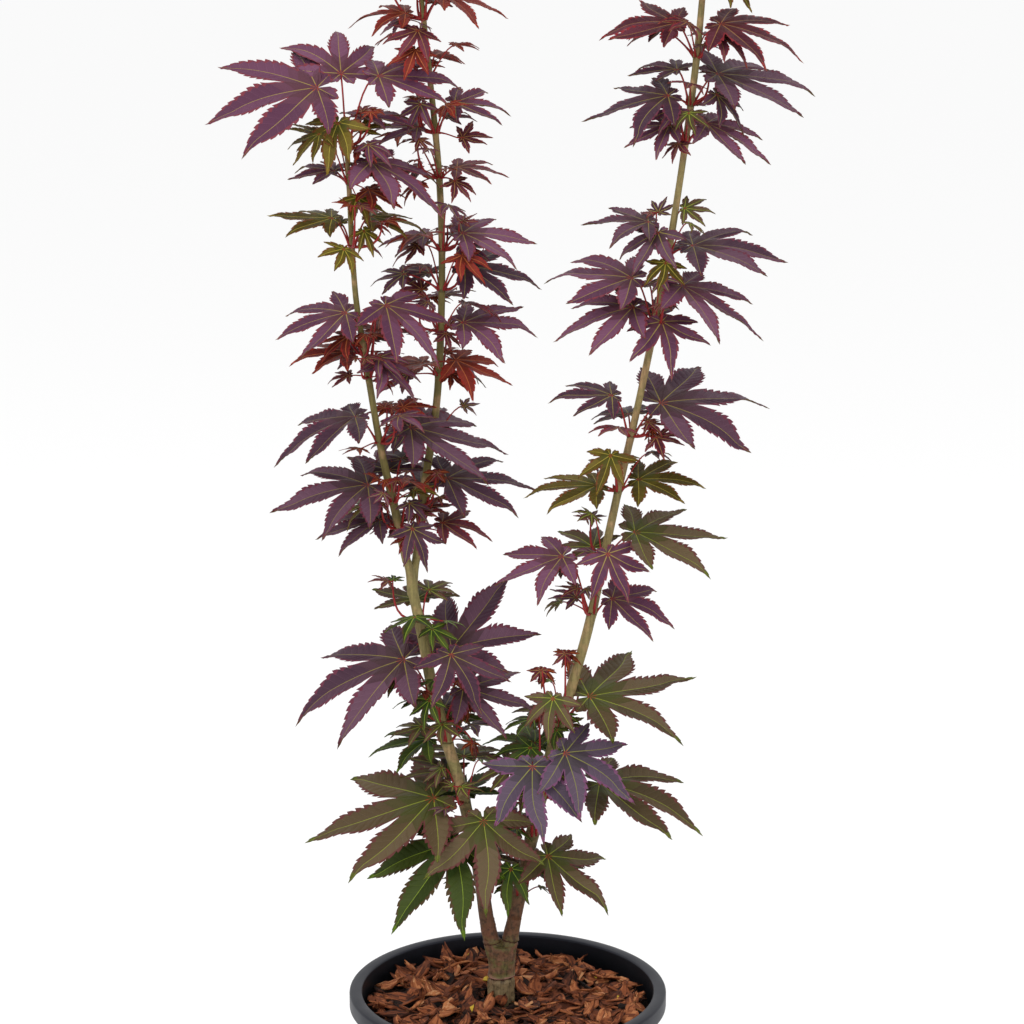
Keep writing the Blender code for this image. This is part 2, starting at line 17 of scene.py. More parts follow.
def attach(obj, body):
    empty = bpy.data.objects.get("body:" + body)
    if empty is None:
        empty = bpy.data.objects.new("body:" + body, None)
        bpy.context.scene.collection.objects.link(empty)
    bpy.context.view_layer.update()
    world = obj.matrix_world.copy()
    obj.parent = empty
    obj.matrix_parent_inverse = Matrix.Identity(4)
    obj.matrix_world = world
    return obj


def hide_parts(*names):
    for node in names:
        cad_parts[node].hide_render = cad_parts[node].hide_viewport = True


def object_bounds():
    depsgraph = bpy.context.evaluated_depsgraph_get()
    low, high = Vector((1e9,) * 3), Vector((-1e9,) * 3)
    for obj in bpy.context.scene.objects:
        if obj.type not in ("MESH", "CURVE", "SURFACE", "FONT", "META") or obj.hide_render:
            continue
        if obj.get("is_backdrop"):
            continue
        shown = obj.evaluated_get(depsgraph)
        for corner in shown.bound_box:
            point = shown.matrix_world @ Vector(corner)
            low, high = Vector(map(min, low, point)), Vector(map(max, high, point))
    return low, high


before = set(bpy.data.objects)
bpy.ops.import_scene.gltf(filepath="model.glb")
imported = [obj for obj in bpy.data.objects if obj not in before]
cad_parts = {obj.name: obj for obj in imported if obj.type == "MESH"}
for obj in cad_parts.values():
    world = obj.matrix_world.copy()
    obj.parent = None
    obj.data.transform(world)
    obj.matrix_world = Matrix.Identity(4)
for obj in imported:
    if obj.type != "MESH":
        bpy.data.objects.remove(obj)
cad_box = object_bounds()

# The stage: a plain white floor that runs past the view, an even white sky for the soft light of a studio,
# and two large lamps. The camera stands where the photograph was taken from, 1.9 m away and looking a little
# down.
CAMERA_PLACE = (0.003, -1.869, 0.963)
CAMERA_TILT = 77.9
CAMERA_LENS = 98.4375
FLOOR_SIZE = 120.0
SKY_LIGHT = 1.0
LAMP_AIM = Vector((0.0, 0.0, 0.55))
LAMPS = (
    ("key_lamp", (-1.1, -1.9, 2.5), 1.6, 30.0),
    ("fill_lamp", (1.7, -1.3, 1.7), 1.6, 8.0),
)


def srgb(code):
    """A hex colour in linear light, with alpha."""
    parts = [int(code[start:start + 2], 16) / 255 for start in (1, 3, 5)]
    return (*(part / 12.92 if part <= 0.04045 else ((part + 0.055) / 1.055) ** 2.4 for part in parts), 1.0)


def add_node(material, kind, inputs=(), **settings):
    """Adds a node with its settings; an input is a value or another node's output."""
    made = material.node_tree.nodes.new(kind)
    for name, value in settings.items():
        setattr(made, name, value)
    for name, value in dict(inputs).items():
        if isinstance(value, bpy.types.NodeSocket):
            material.node_tree.links.new(value, made.inputs[name])
        else:
            made.inputs[name].default_value = value
    return made


def new_material(name, code, roughness, specular=0.5):
    """A material with a plain colour, and the shader that finishes it."""
    material = bpy.data.materials.new(name)
    material.use_nodes = True
    shader = material.node_tree.nodes["Principled BSDF"]
    shader.inputs["Base Color"].default_value = srgb(code)
    shader.inputs["Roughness"].default_value = roughness
    shader.inputs["Specular IOR Level"].default_value = specular
    return material, shader


def link(material, output, shader, name):
    """Joins a node's output to one of the shader's sockets."""
    material.node_tree.links.new(output, shader.inputs[name])


bpy.ops.object.select_all(action="DESELECT")
bpy.ops.object.camera_add(location=CAMERA_PLACE, rotation=(math.radians(CAMERA_TILT), 0.0, 0.0))
camera = bpy.context.object
camera.data.lens = CAMERA_LENS
bpy.context.scene.camera = camera
bpy.context.scene.view_settings.view_transform = "Standard"

sky = bpy.data.worlds.new("studio")
sky.use_nodes = True
sky.node_tree.nodes["Background"].inputs["Color"].default_value = (1.0, 1.0, 1.0, 1.0)
sky.node_tree.nodes["Background"].inputs["Strength"].default_value = SKY_LIGHT
bpy.context.scene.world = sky
for name, place, size, power in LAMPS:
    aim = (LAMP_AIM - Vector(place)).to_track_quat("-Z", "Y")
    bpy.ops.object.light_add(type="AREA", location=place, rotation=aim.to_euler())
    lamp = bpy.context.object
    lamp.name = name
    lamp.data.size = size
    lamp.data.energy = power

bpy.ops.mesh.primitive_plane_add(size=FLOOR_SIZE)
floor = bpy.context.object
floor.name = "floor"
floor.data.materials.append(new_material("white_paper_floor", "#FAFAFA", 0.9, 0.0)[0])
floor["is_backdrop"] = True

# The nursery pot: black polyethylene, blow-moulded in one piece, with a rolled rim, a collar, a step near the
# foot and eight drain slots. The moulding leaves a satin skin with a faint orange peel.
MM = 0.001
POT_HEIGHT = 218.5 * MM
RIM_RADIUS = 112 * MM
RIM_WIDTH = 9 * MM
RIM_DEPTH = 12 * MM
RIM_CROWN = 0.3 * MM
RIM_LIP = 1 * MM
RIM_SHOULDER = 1.8 * MM
RIM_EDGE = 1.6 * MM
COLLAR_RADIUS = 105 * MM
COLLAR_FLARE = 1.5 * MM
COLLAR_FOOT = 178 * MM
COLLAR_CHAMFER = 0.8 * MM
BEND = 2 * MM
WALL_TOP_RADIUS = 101.5 * MM
FOOT_RADIUS = 89 * MM
FOOT_CORNER = 1.5 * MM
STEP_HEIGHT = 26 * MM
POT_STEP = 1.5 * MM
WALL = 1.8 * MM
POT_FLOOR = 2.4 * MM
POT_SIDES = 144
DRAINS = 8
DRAIN_SIZE = (16 * MM, 12 * MM, 9 * MM)
SHARP_CORNER = 32
ORANGE_PEEL = 1.6 * MM
DUST = 22 * MM
CORNER_STEPS = 4


def corner(middle, radius, first, last):
    """Points round a corner of the pot's section, from one angle to another."""
    for step in range(CORNER_STEPS + 1):
        turn = math.radians(first + (last - first) * step / CORNER_STEPS)
        yield middle[0] + radius * math.cos(turn), middle[1] + radius * math.sin(turn)


def applied(thing, kind, **settings):
    """Shapes an object by a modifier with its settings, and applies it."""
    bpy.context.view_layer.objects.active = thing
    modifier = thing.modifiers.new("shaping", kind)
    for name, value in settings.items():
        setattr(modifier, name, value)
    bpy.ops.object.modifier_apply(modifier=modifier.name)


rim_foot = POT_HEIGHT - RIM_DEPTH
rim_inside = RIM_RADIUS - RIM_WIDTH
pot_section = [
    *corner((FOOT_RADIUS - POT_STEP - FOOT_CORNER, FOOT_CORNER), FOOT_CORNER, -90, 0),
    (FOOT_RADIUS, STEP_HEIGHT),
    (FOOT_RADIUS + POT_STEP, STEP_HEIGHT + BEND),
    (WALL_TOP_RADIUS, COLLAR_FOOT - BEND),
    (COLLAR_RADIUS - COLLAR_CHAMFER, COLLAR_FOOT),
    (COLLAR_RADIUS, COLLAR_FOOT + BEND / 2),
    (COLLAR_RADIUS + COLLAR_FLARE, rim_foot + BEND),
    (RIM_RADIUS - BEND, rim_foot),
    *corner((RIM_RADIUS - RIM_LIP, rim_foot + RIM_LIP), RIM_LIP, -90, 0),
    *corner((RIM_RADIUS - RIM_SHOULDER, POT_HEIGHT - RIM_CROWN - RIM_SHOULDER), RIM_SHOULDER, 0, 75),
    (RIM_RADIUS - RIM_WIDTH / 2, POT_HEIGHT),
    *corner((rim_inside + RIM_EDGE, POT_HEIGHT - RIM_CROWN - RIM_EDGE), RIM_EDGE, 105, 180),
    (COLLAR_RADIUS - WALL, COLLAR_FOOT + 3 * MM),
    (WALL_TOP_RADIUS - WALL, COLLAR_FOOT),
    (FOOT_RADIUS - WALL, STEP_HEIGHT),
    (FOOT_RADIUS - POT_STEP - WALL, POT_FLOOR),
]
radius, height = pot_section[0]
bpy.ops.object.select_all(action="DESELECT")
bpy.ops.mesh.primitive_circle_add(vertices=POT_SIDES, radius=radius, fill_type="NGON",
                                  location=(0.0, 0.0, height))
pot = bpy.context.object
pot.name = "nursery_pot"
bpy.ops.object.mode_set(mode="EDIT")
bpy.ops.mesh.select_all(action="SELECT")
for next_radius, next_height in pot_section[1:]:
    bpy.ops.mesh.extrude_region_move(TRANSFORM_OT_translate={"value": (0.0, 0.0, next_height - height)})
    share = next_radius / radius
    bpy.ops.transform.resize(value=(share, share, 1.0), center_override=(0.0, 0.0, next_height))
    radius, height = next_radius, next_height
bpy.ops.mesh.select_all(action="SELECT")
bpy.ops.mesh.normals_make_consistent(inside=False)
bpy.ops.object.mode_set(mode="OBJECT")
bpy.ops.object.transform_apply(location=True, rotation=True, scale=True)

reach = FOOT_RADIUS - POT_STEP
for index in range(DRAINS):
    turn = 2 * math.pi * (index + 0.5) / DRAINS
    bpy.ops.mesh.primitive_cube_add(size=1.0, location=(reach * math.cos(turn), reach * math.sin(turn), 0.0),
                                    rotation=(0.0, 0.0, turn), scale=DRAIN_SIZE)
    slot_cutter = bpy.context.object
    applied(pot, "BOOLEAN", operation="DIFFERENCE", object=slot_cutter)
    bpy.data.objects.remove(slot_cutter, do_unlink=True)
pot.data.shade_smooth()
pot.data.set_sharp_from_angle(angle=math.radians(SHARP_CORNER))


def grained(material, shader, size, strength, depth, **grain):
    """Gives a finish a fine relief of grains of some size, and returns the place that its patterns read."""
    spot = add_node(material, "ShaderNodeTexCoord").outputs["Object"]
    grains = add_node(material, "ShaderNodeTexNoise", {"Vector": spot, "Scale": 1 / size, **grain})
    relief = add_node(material, "ShaderNodeBump", {
        "Height": grains.outputs["Fac"], "Strength": strength, "Distance": depth})
    link(material, relief.outputs["Normal"], shader, "Normal")
    return spot


# Polyethylene is a little waxy: a dark charcoal that picks up soft wide highlights along the rim.
plastic, shader = new_material("black_polyethylene", "#090A0D", 0.46, 0.45)
shader.inputs["Specular Tint"].default_value = srgb("#D6DAF4")
spot = grained(plastic, shader, ORANGE_PEEL, 0.10, 0.2 * MM, Detail=3.0)
dust = add_node(plastic, "ShaderNodeTexNoise", {"Vector": spot, "Scale": 1 / DUST, "Detail": 5.0})
shine = add_node(plastic, "ShaderNodeMapRange", {
    "Value": dust.outputs["Fac"], "To Min": 0.38, "To Max": 0.56})
link(plastic, shine.outputs["Result"], shader, "Roughness")
pot.data.materials.append(plastic)
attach(pot, "root")
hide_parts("pot")

# The pot's filling: dark potting mix, made darker than its own colour as painted shade in the gaps between
# the chips, topped with a layer of shredded pine bark. The chips are split along the grain, so they are long
# flat shards with ragged ends, rust brown where fresh and darker where weathered. On top of that, the lower
# layers are darker as painted shade and the top layers lighter as painted light.
MULCH_AT_TRUNK = 212.5 * MM
MULCH_AT_WALL = 208.5 * MM
SEAT_RADIUS = 15 * MM
MULCH_EDGE = 101.4 * MM
SOIL_SIDES = 96
SOIL_RINGS = 12
SOIL_RING_WIDTH = 7.4 * MM
SOIL_DEPTH = 20 * MM
LUMP_HEIGHT = 1.5 * MM
CHIPS_SUNK = 8 * MM
CHIP_KINDS = 12
CHIP_STRIPS = 7
CHIP_LENGTHS = 6
CHIP_WIDTHS = (0.28, 0.62)
CHIP_THICKNESS = (1.0, 2.2)
CHIP_BLUNT = (1.2, 4.0)
CHIP_SLANT = 0.5
CHIP_BOW = 7
CHIP_TWIST = 2.4
CHIP_TAPER = 0.86
CHIP_THINNED = 0.55
CHIP_RAGGED = 0.22
CHIP_SPLIT = 0.30
CHIP_RIDGE = 0.18
CHIP_WAVE = 0.10
# Each layer of chips: how many, their least and most length, their lift, how far they tilt and their colours.
# The lower layers get the darker colours as painted shade, and the top layers the lighter ones as painted
# light.
CHIP_LAYERS = (
    (230, (15, 30), -5.4, 10, (0, 0, 1, 1, 2)),
    (215, (13, 29), -2.8, 24, (0, 1, 2, 2, 3, 4)),
    (215, (11, 27), -0.9, 40, (2, 3, 3, 4, 4, 5, 5)),
    (75, (9, 18), 0.6, 64, (3, 4, 4, 5, 5, 6)),
)
# Chip colours from dark to light. The darkest go mostly to the buried layers, as painted shade.
CHIP_COLOURS = ("#150904", "#2F150B", "#4C281A", "#683823", "#82482B", "#9A5B38", "#B07047", "#C08A60")
FLECK_COLOUR = "#C2A136"
FLECKS = 9
TRUNK_CLEAR = 9.6 * MM
TRUNK_FOOT = (-4.8 * MM, 0.0)


def joined_piece(name, chunks, materials):
    """One object from chunks of points, triangles and the material slot of each triangle."""
    counts = np.cumsum([0] + [len(points) for points, _, _ in chunks])
    points = np.concatenate([points for points, _, _ in chunks])
    corners = np.concatenate([triangles + start for (_, triangles, _), start in zip(chunks, counts)])
    mesh = bpy.data.meshes.new(name)
    mesh.vertices.add(len(points))
    mesh.vertices.foreach_set("co", points.astype(np.float32).ravel())
    mesh.loops.add(corners.size)
    mesh.loops.foreach_set("vertex_index", corners.astype(np.int32).ravel())
    mesh.polygons.add(len(corners))
    mesh.polygons.foreach_set("loop_start", np.arange(0, corners.size, 3, dtype=np.int32))
    for material in materials:
        mesh.materials.append(material)
    slots = np.concatenate([slots for _, _, slots in chunks])
    mesh.polygons.foreach_set("material_index", slots.astype(np.int32))
    mesh.update(calc_edges=True)
    mesh.validate()
    piece = bpy.data.objects.new(name, mesh)
    bpy.context.scene.collection.objects.link(piece)
    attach(piece, "root")
    return piece


def one_slot(points, triangles, slot=0):
    """A chunk whose triangles all have the same material."""
    return points, triangles, np.full(len(triangles), slot)


def mesh_arrays(thing):
    """A modelled object's points and triangles; the object is removed."""
    mesh = thing.data
    mesh.calc_loop_triangles()
    points = np.array([vertex.co for vertex in mesh.vertices])
    triangles = np.array([triangle.vertices for triangle in mesh.loop_triangles])
    bpy.data.objects.remove(thing, do_unlink=True)
    return points, triangles


def placed(points, matrix):
    """Points moved by a matrix."""
    turn = np.array(matrix.to_3x3())
    return points @ turn.T + np.array(matrix.translation)


def uneven(x, y, z):
    """A smooth random value at a place, from about -1 to 1."""
    return noise.noise(Vector((x, y, z)))


def mulch_height(radius):
    """The top of the mulch at a distance from the pot's middle."""
    share = min(1.0, max(0.0, (radius - SEAT_RADIUS) / (MULCH_EDGE - SEAT_RADIUS)))
    return MULCH_AT_TRUNK + (MULCH_AT_WALL - MULCH_AT_TRUNK) * share ** 1.5


bpy.ops.object.select_all(action="DESELECT")
bpy.ops.mesh.primitive_circle_add(vertices=SOIL_SIDES, radius=MULCH_EDGE, fill_type="NGON")
soil = bpy.context.object
soil.name = "potting_mix"
bpy.ops.object.mode_set(mode="EDIT")
bpy.ops.mesh.select_all(action="SELECT")
for _ in range(SOIL_RINGS):
    bpy.ops.mesh.inset(thickness=SOIL_RING_WIDTH, depth=0.0)
bpy.ops.object.mode_set(mode="OBJECT")
for vertex in soil.data.vertices:
    lump = noise.noise(vertex.co * 90) * LUMP_HEIGHT
    vertex.co.z = mulch_height(vertex.co.xy.length) - CHIPS_SUNK + lump
applied(soil, "SOLIDIFY", thickness=SOIL_DEPTH, offset=-1.0)
# The potting mix is darker than its own colour, as painted shade in the gaps between the chips.
earth_with_painted_gap_shade, shader = new_material("potting_mix_with_painted_gap_shade", "#150A06", 0.95, 0.1)
grained(earth_with_painted_gap_shade, shader, 2.5 * MM, 1.0, 1 * MM, Detail=6.0)
soil.data.materials.append(earth_with_painted_gap_shade)
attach(soil, "root")
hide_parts("bark_mulch")

chance = random.Random(11)
chip_shapes = []
for kind in range(CHIP_KINDS):
    bpy.ops.mesh.primitive_grid_add(x_subdivisions=CHIP_LENGTHS, y_subdivisions=CHIP_STRIPS, size=1.0)
    chip = bpy.context.object
    applied(chip, "SOLIDIFY", thickness=1.0, offset=0.0)
    points, triangles = mesh_arrays(chip)
    middles = points[triangles].mean(axis=1)
    strips = np.clip((middles[:, 1] + 0.5) * CHIP_STRIPS, 0, CHIP_STRIPS - 1).astype(int)
    lengths = np.clip((middles[:, 0] + 0.5) * CHIP_LENGTHS, 0, CHIP_LENGTHS - 1).astype(int)
    blunt = chance.uniform(*CHIP_BLUNT)
    slant = chance.uniform(-CHIP_SLANT, CHIP_SLANT)
    bow = chance.uniform(-CHIP_BOW, CHIP_BOW)
    twist = chance.uniform(-CHIP_TWIST, CHIP_TWIST)
    for point in points:
        x, y, z = point
        end = min(1.0, abs(x) * 2)
        ragged = uneven(x * 5, math.copysign(4, y), kind * 3.7) * CHIP_RAGGED * abs(y) * 2
        split = uneven(y * 6, math.copysign(3, x), kind * 2.3) * CHIP_SPLIT * end ** 3
        ridge = uneven(y * 11, kind * 1.9, x * 2) * CHIP_RIDGE
        point[0] = x + split + slant * y * 0.5
        point[1] = y * (1 - CHIP_TAPER * end ** blunt) + ragged + CHIP_WAVE * math.sin(x * 5 + kind)
        point[2] = z * (1 - CHIP_THINNED * end ** 2) + ridge + bow * x * x + twist * x * y
    chip_shapes.append((points, triangles, strips, lengths))


def chip_place(length, lift, tilt):
    """A random place for a chip's middle on the mulch, clear of the trunk and the wall, or None."""
    radius = (MULCH_EDGE - length * 0.46) * math.sqrt(chance.random())
    bearing = chance.uniform(0, 2 * math.pi)
    x, y = radius * math.cos(bearing), radius * math.sin(bearing)
    if math.hypot(x - TRUNK_FOOT[0], y) < TRUNK_CLEAR + length * 0.30:
        return None
    lean = Matrix.Rotation(math.radians(chance.uniform(-tilt, tilt)), 4, "X")
    nod = Matrix.Rotation(math.radians(chance.uniform(-tilt, tilt) * 0.7), 4, "Y")
    turn = Matrix.Rotation(chance.uniform(0, 2 * math.pi), 4, "Z")
    height = mulch_height(radius) + lift * MM + chance.uniform(-1.2, 1.2) * MM
    return Matrix.Translation((x, y, height)) @ turn @ nod @ lean


chunks = []
for count, (least, most), lift, tilt, tones_with_painted_shade_and_light in CHIP_LAYERS:
    for _ in range(count):
        length = chance.uniform(least, most) * MM
        width = length * chance.uniform(*CHIP_WIDTHS)
        size = Matrix.Diagonal((length, width, chance.uniform(*CHIP_THICKNESS) * MM, 1.0))
        place = chip_place(length, lift, tilt)
        if place:
            points, triangles, strips, lengths = chip_shapes[chance.randrange(CHIP_KINDS)]
            grain = [[chance.choice((-1, 0, 0, 1)) for _ in range(CHIP_LENGTHS)] for _ in range(CHIP_STRIPS)]
            fibre = [[chance.choice((-1, 0, 0, 0, 1))] for _ in range(CHIP_STRIPS)]
            dealt = np.clip(chance.choice(tones_with_painted_shade_and_light) + np.array(grain) + fibre, 0, len(CHIP_COLOURS) - 1)
            chunks.append((placed(points, place @ size), triangles, dealt[strips, lengths]))
for index in range(FLECKS):
    place = chip_place(8 * MM, 1.2, 30)
    if place:
        points, triangles, _, _ = chip_shapes[index]
        size = Matrix.Diagonal((chance.uniform(4, 9) * MM, chance.uniform(2, 4) * MM, 0.7 * MM, 1.0))
        chunks.append(one_slot(placed(points, place @ size), triangles, len(CHIP_COLOURS)))
# Split bark is matt and fibrous, so every chip has a rough grain that breaks up the light.
bark_materials = []
for index, code in enumerate((*CHIP_COLOURS, FLECK_COLOUR)):
    bark, shader = new_material(f"shredded_pine_bark_{index + 1}", code, 0.88, 0.2)
    grained(bark, shader, 1.6 * MM, 1.0, 0.8 * MM, Detail=5.0, Roughness=0.65)
    bark_materials.append(bark)
chips = joined_piece("bark_chips", chunks, bark_materials)
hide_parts("bark_mulch")

# The limbs: young maple wood, grown from one graft near the foot of the trunk. Each limb is a smooth tapering
# skin with a ring at every leaf joint; the bark is grey-brown and pinkish low down and olive to khaki above.
SCAR, CALLUS, CREASE_PAINTED_SHADE = 1, 2, 3
# A limb's stations from its foot up: where its middle is and how thick it is there, in millimetres.
TRUNK = (
    (-4.8, 0, 212.8, 19), (-4.8, 0, 215, 18.6), (-4.5, 0, 228, 18.4), (-4.2, 0, 240, 19.4),
    (-4.2, 0, 250, 19),
)
TRUNK_FORKS = (
    ((-6.5, 0, 236, 14), (-12.5, 0, 257, 11.6), (-15, 0, 270, 10.6)),
    ((-2, 0, 236, 14), (2.6, 0, 259, 11.4), (5, 0, 272, 10.2)),
)
LEFT_BOUGH = (
    (-15, 0, 270, 10.6), (-20, -1, 305, 9.6), (-32, -2, 364, 8.6), (-42, -3, 400, 8.3), (-53, -3, 444, 8.2),
    (-58, -2, 472, 7.6), (-64.5, 0, 504, 7.2), (-65.5, 0, 512, 7.6),
)
BOUGH_FORKS = (
    ((-65.5, 0, 504, 7.2), (-67, -1, 521, 6.4), (-69.5, -2, 530, 6.2)),
    ((-65.5, 0, 504, 7.2), (-64, 3, 521, 6.2), (-62.5, 5, 530, 6)),
)
LEFT_CANE = (
    (-69.5, -2, 530, 6.2), (-78, -5, 571, 5.8), (-86.5, -7, 612, 4.8), (-95, -9, 667, 4.5),
    (-101, -10, 708, 3.9), (-103.5, -11, 748, 3.6), (-105, -12, 788, 3.4), (-106.5, -12, 815, 3),
)
MIDDLE_CANE = (
    (-62.5, 5, 530, 6), (-57, 11, 578, 5.7), (-48, 17, 640, 5.2), (-44.5, 20, 720, 4.6), (-46, 20, 788, 4.5),
    (-53, 18, 867, 3.8), (-59, 16, 925, 3.2), (-63, 15, 958, 2.6),
)
RIGHT_CANE = (
    (5, 0, 272, 10.2), (27.5, 2, 379, 8.6), (46, 3, 444, 7.4), (58, 4, 490, 6.6), (74.5, 5, 571, 5.5),
    (89.5, 5, 640, 4.9), (105, 4, 722, 4.9), (115, 3, 788, 4.5), (125, 2, 869, 4.6), (130.5, 1, 945, 3.8),
    (133, 0, 985, 3),
)
# The leaf masses of a limb: the height of the joint, the tint, its leaves and how many more grow there. A
# leaf is its bearing in degrees, its length and rise in millimetres, and sometimes how far out it starts.
RIGHT_MASSES = (
    (287, "green", ((-125, 40, 20),), 1),
    (294, "bronze", ((-38, 64, 26),), 1),
    (330, "violet", ((-90, 58, 62, 36), (-46, 64, 70, 34)), 1),
    (357, "bronze", ((-10, 80, 14, 42),), 2),
    (372, "green", ((105, 52, 18), (-150, 34, 24)), 1),
    (413, "bronze", ((-10, 88, 19), (172, 42, 38)), 2),
    (490, "purple", ((200, 56, 42, 22), (-66, 42, 42, 20), (-10, 50, 11)), 1),
    (530, "bronze", ((160, 58, 10), (0, 75, 13)), 2),
    (576, "olive", ((182, 53, 4), (0, 48, 8)), 2),
    (614, "dusk", ((180, 45, 28), (0, 88, 23)), 2),
    (691, "purple", ((170, 63, 31), (192, 58, 12), (-15, 74, 26)), 2),
    (738, "dusk", ((180, 47, 22), (5, 68, 6)), 2),
    (813, "purple", ((202, 36, 12), (-22, 54, 13)), 2),
    (838, "dusk", ((188, 60, 6), (10, 75, 20)), 2),
    (869, "wine", ((168, 54, 22), (-15, 61, 22)), 2),
    (917, "dusk", ((184, 50, 14), (4, 56, 16)), 3),
    (953, "wine", ((105, 42, 12), (-70, 40, 12)), 2),
    (983, "purple", ((176, 44, 12), (2, 48, 12)), 2),
)
BOUGH_MASSES = (
    (300, "bronze", ((-84, 66, 50, 25),), 1),
    (327, "green", ((228, 79, 4),), 1),
    (357, "bronze", ((190, 96, 3), (100, 54, 14)), 1),
    (400, "green", ((182, 46, 2), (80, 44, 10)), 2),
    (415, "dusk", ((-8, 60, 24),), 2),
    (436, "dusk", ((190, 92, 24), (48, 78, 27)), 2),
    (486, "bronze", ((100, 50, 12), (-80, 36, 4)), 1),
)
LEFT_MASSES = (
    (552, "dusk", ((188, 46, 6), (-60, 34, 4)), 2),
    (571, "dusk", ((190, 70, 12), (85, 50, 14)), 2),
    (612, "dusk", ((190, 66, 18), (-8, 83, 10)), 2),
    (657, "purple", ((192, 56, 44), (-36, 58, 50)), 2),
    (672, "red", ((185, 42, 2), (60, 44, 10)), 2),
    (745, "olive", ((180, 45, 19), (0, 40, 20)), 2),
    (787, "purple", ((-20, 65, 15), (150, 36, 8)), 2),
    (812, "purple", ((180, 80, 38), (105, 58, 42), (12, 68, 40)), 1),
)
MIDDLE_MASSES = (
    (548, "wine", ((-12, 43, 6), (165, 34, 4)), 1),
    (566, "dusk", ((0, 68, 18), (95, 50, 10)), 2),
    (608, "dusk", ((110, 50, 14), (-80, 38, 8)), 2),
    (654, "red", ((-20, 42, 11), (172, 36, 8)), 2),
    (684, "purple", ((0, 57, 6), (150, 42, 10)), 2),
    (712, "dusk", ((2, 59, 17), (205, 34, 10)), 1),
    (739, "purple", ((-10, 52, 12), (178, 36, 10)), 2),
    (788, "wine", ((0, 38, 7), (182, 34, 8)), 2),
    (818, "purple", ((2, 43, 20), (180, 36, 4)), 2),
    (856, "red", ((92, 36, 8), (-85, 32, 6)), 2),
    (893, "red", ((180, 38, 4), (-5, 48, 16)), 2),
    (926, "wine", ((95, 36, 10), (-88, 34, 8)), 2),
    (956, "purple", ((172, 38, 10), (-6, 42, 12)), 1),
)
LIMBS = (
    ("trunk", TRUNK, ()),
    ("left_bough", LEFT_BOUGH, BOUGH_MASSES),
    ("right_cane", RIGHT_CANE, RIGHT_MASSES),
    ("left_cane", LEFT_CANE, LEFT_MASSES),
    ("middle_cane", MIDDLE_CANE, MIDDLE_MASSES),
)
SKIN_SPACING = 2.5 * MM
SKIN_SIDES = 20
JOINT_REACH = 5.5 * MM
JOINT_SWELL = 0.11
GRAFT_HEIGHT = 227.6 * MM
GRAFT_TILT = 0.06
SUNK_END = 2 * MM
SUNK_FOOT = 9 * MM
GRAFT_RIDGE = 0.7 * MM
GRAFT_CREASE = 0.9 * MM
CREASE_BELOW = 1.7 * MM
RIBS_FADE = 1.5 * MM
RIB_HEIGHT = 1.2 * MM
COLLAR_ALONG = 5.5 * MM
COLLAR_WANDER = 0.5 * MM
COLLAR_RIDGE = 0.45 * MM
COLLAR_CREASE = 0.5 * MM
WRINKLE_HEIGHT = 0.25 * MM
BARK_LUMP = 0.5 * MM
SKIN_GRID = 0.7 * MM
SOFTEN = 0.6
SOFTEN_TIMES = 6
PATCH_SWELL = 0.05
RIDGE_SWELL = 0.03


def smooth_stations(stations, spacing):
    """Places and radii along a smooth curve through a limb's stations, in metres."""
    rows = [Vector((x, y, height, diameter / 2)) * MM for x, y, height, diameter in stations]
    rows = [rows[0] * 2 - rows[1]] + rows + [rows[-1] * 2 - rows[-2]]
    path = []
    for before, start, end, after in zip(rows, rows[1:], rows[2:], rows[3:]):
        steps = max(1, round((end.xyz - start.xyz).length / spacing))
        for step in range(steps):
            t = step / steps
            bend = (2 * before - 5 * start + 4 * end - after) * t ** 2
            swing = (3 * start - before - 3 * end + after) * t ** 3
            path.append((2 * start + (end - before) * t + bend + swing) / 2)
    path.append(rows[-2])
    return path


def tube(places, radii, sides):
    """Points and triangles of a closed tube along places, with a radius at each or at each side of each."""
    places = np.array(places, float)
    radii = np.array(radii, float)
    if radii.ndim == 1:
        radii = np.repeat(radii[:, None], sides, axis=1)
    ways = np.gradient(places, axis=0)
    ways /= np.linalg.norm(ways, axis=1)[:, None]
    across = np.cross(ways[0], (0.0, 1.0, 0.13))
    rings = []
    turns = np.arange(sides) * 2 * math.pi / sides
    for place, way, ring in zip(places, ways, radii):
        across = across - way * across.dot(way)
        across /= np.linalg.norm(across)
        third = np.cross(way, across)
        rings.append(place + np.outer(np.cos(turns) * ring, across) + np.outer(np.sin(turns) * ring, third))
    points = np.concatenate(rings + [places[:1], places[-1:]])
    triangles = []
    for ring in range(len(places) - 1):
        for side in range(sides):
            a, b = ring * sides + side, ring * sides + (side + 1) % sides
            triangles += [(a, b, b + sides), (a, b + sides, a + sides)]
    foot, top = len(points) - 2, len(points) - 1
    last = foot - sides
    for side in range(sides):
        following = (side + 1) % sides
        triangles += [(foot, following, side), (top, last + side, last + following)]
    return points, np.array(triangles)


def limb_skin(path, joints, sunk):
    """A limb's skin from its smooth path, swollen at its joints, with its foot sunk in what carries it."""
    places = [row.xyz for row in path]
    way = (places[1] - places[0]).normalized()
    places[0] = places[0] - way * sunk
    radii = []
    for row in path:
        near = min((abs(row.z - joint) for joint in joints), default=1.0)
        swell = JOINT_SWELL * max(0.0, 1 - near / JOINT_REACH) ** 2
        sides = []
        for side in range(SKIN_SIDES):
            turn = 2 * math.pi * side / SKIN_SIDES
            bump = PATCH_SWELL * uneven(math.cos(turn) * 0.9, math.sin(turn) * 0.9, row.z * 26)
            ridge = RIDGE_SWELL * uneven(math.cos(turn) * 3.2, math.sin(turn) * 3.2, row.z * 12)
            sides.append(row.w * (1 + swell + bump + ridge))
        radii.append(sides)
    return tube(places, radii, SKIN_SIDES)


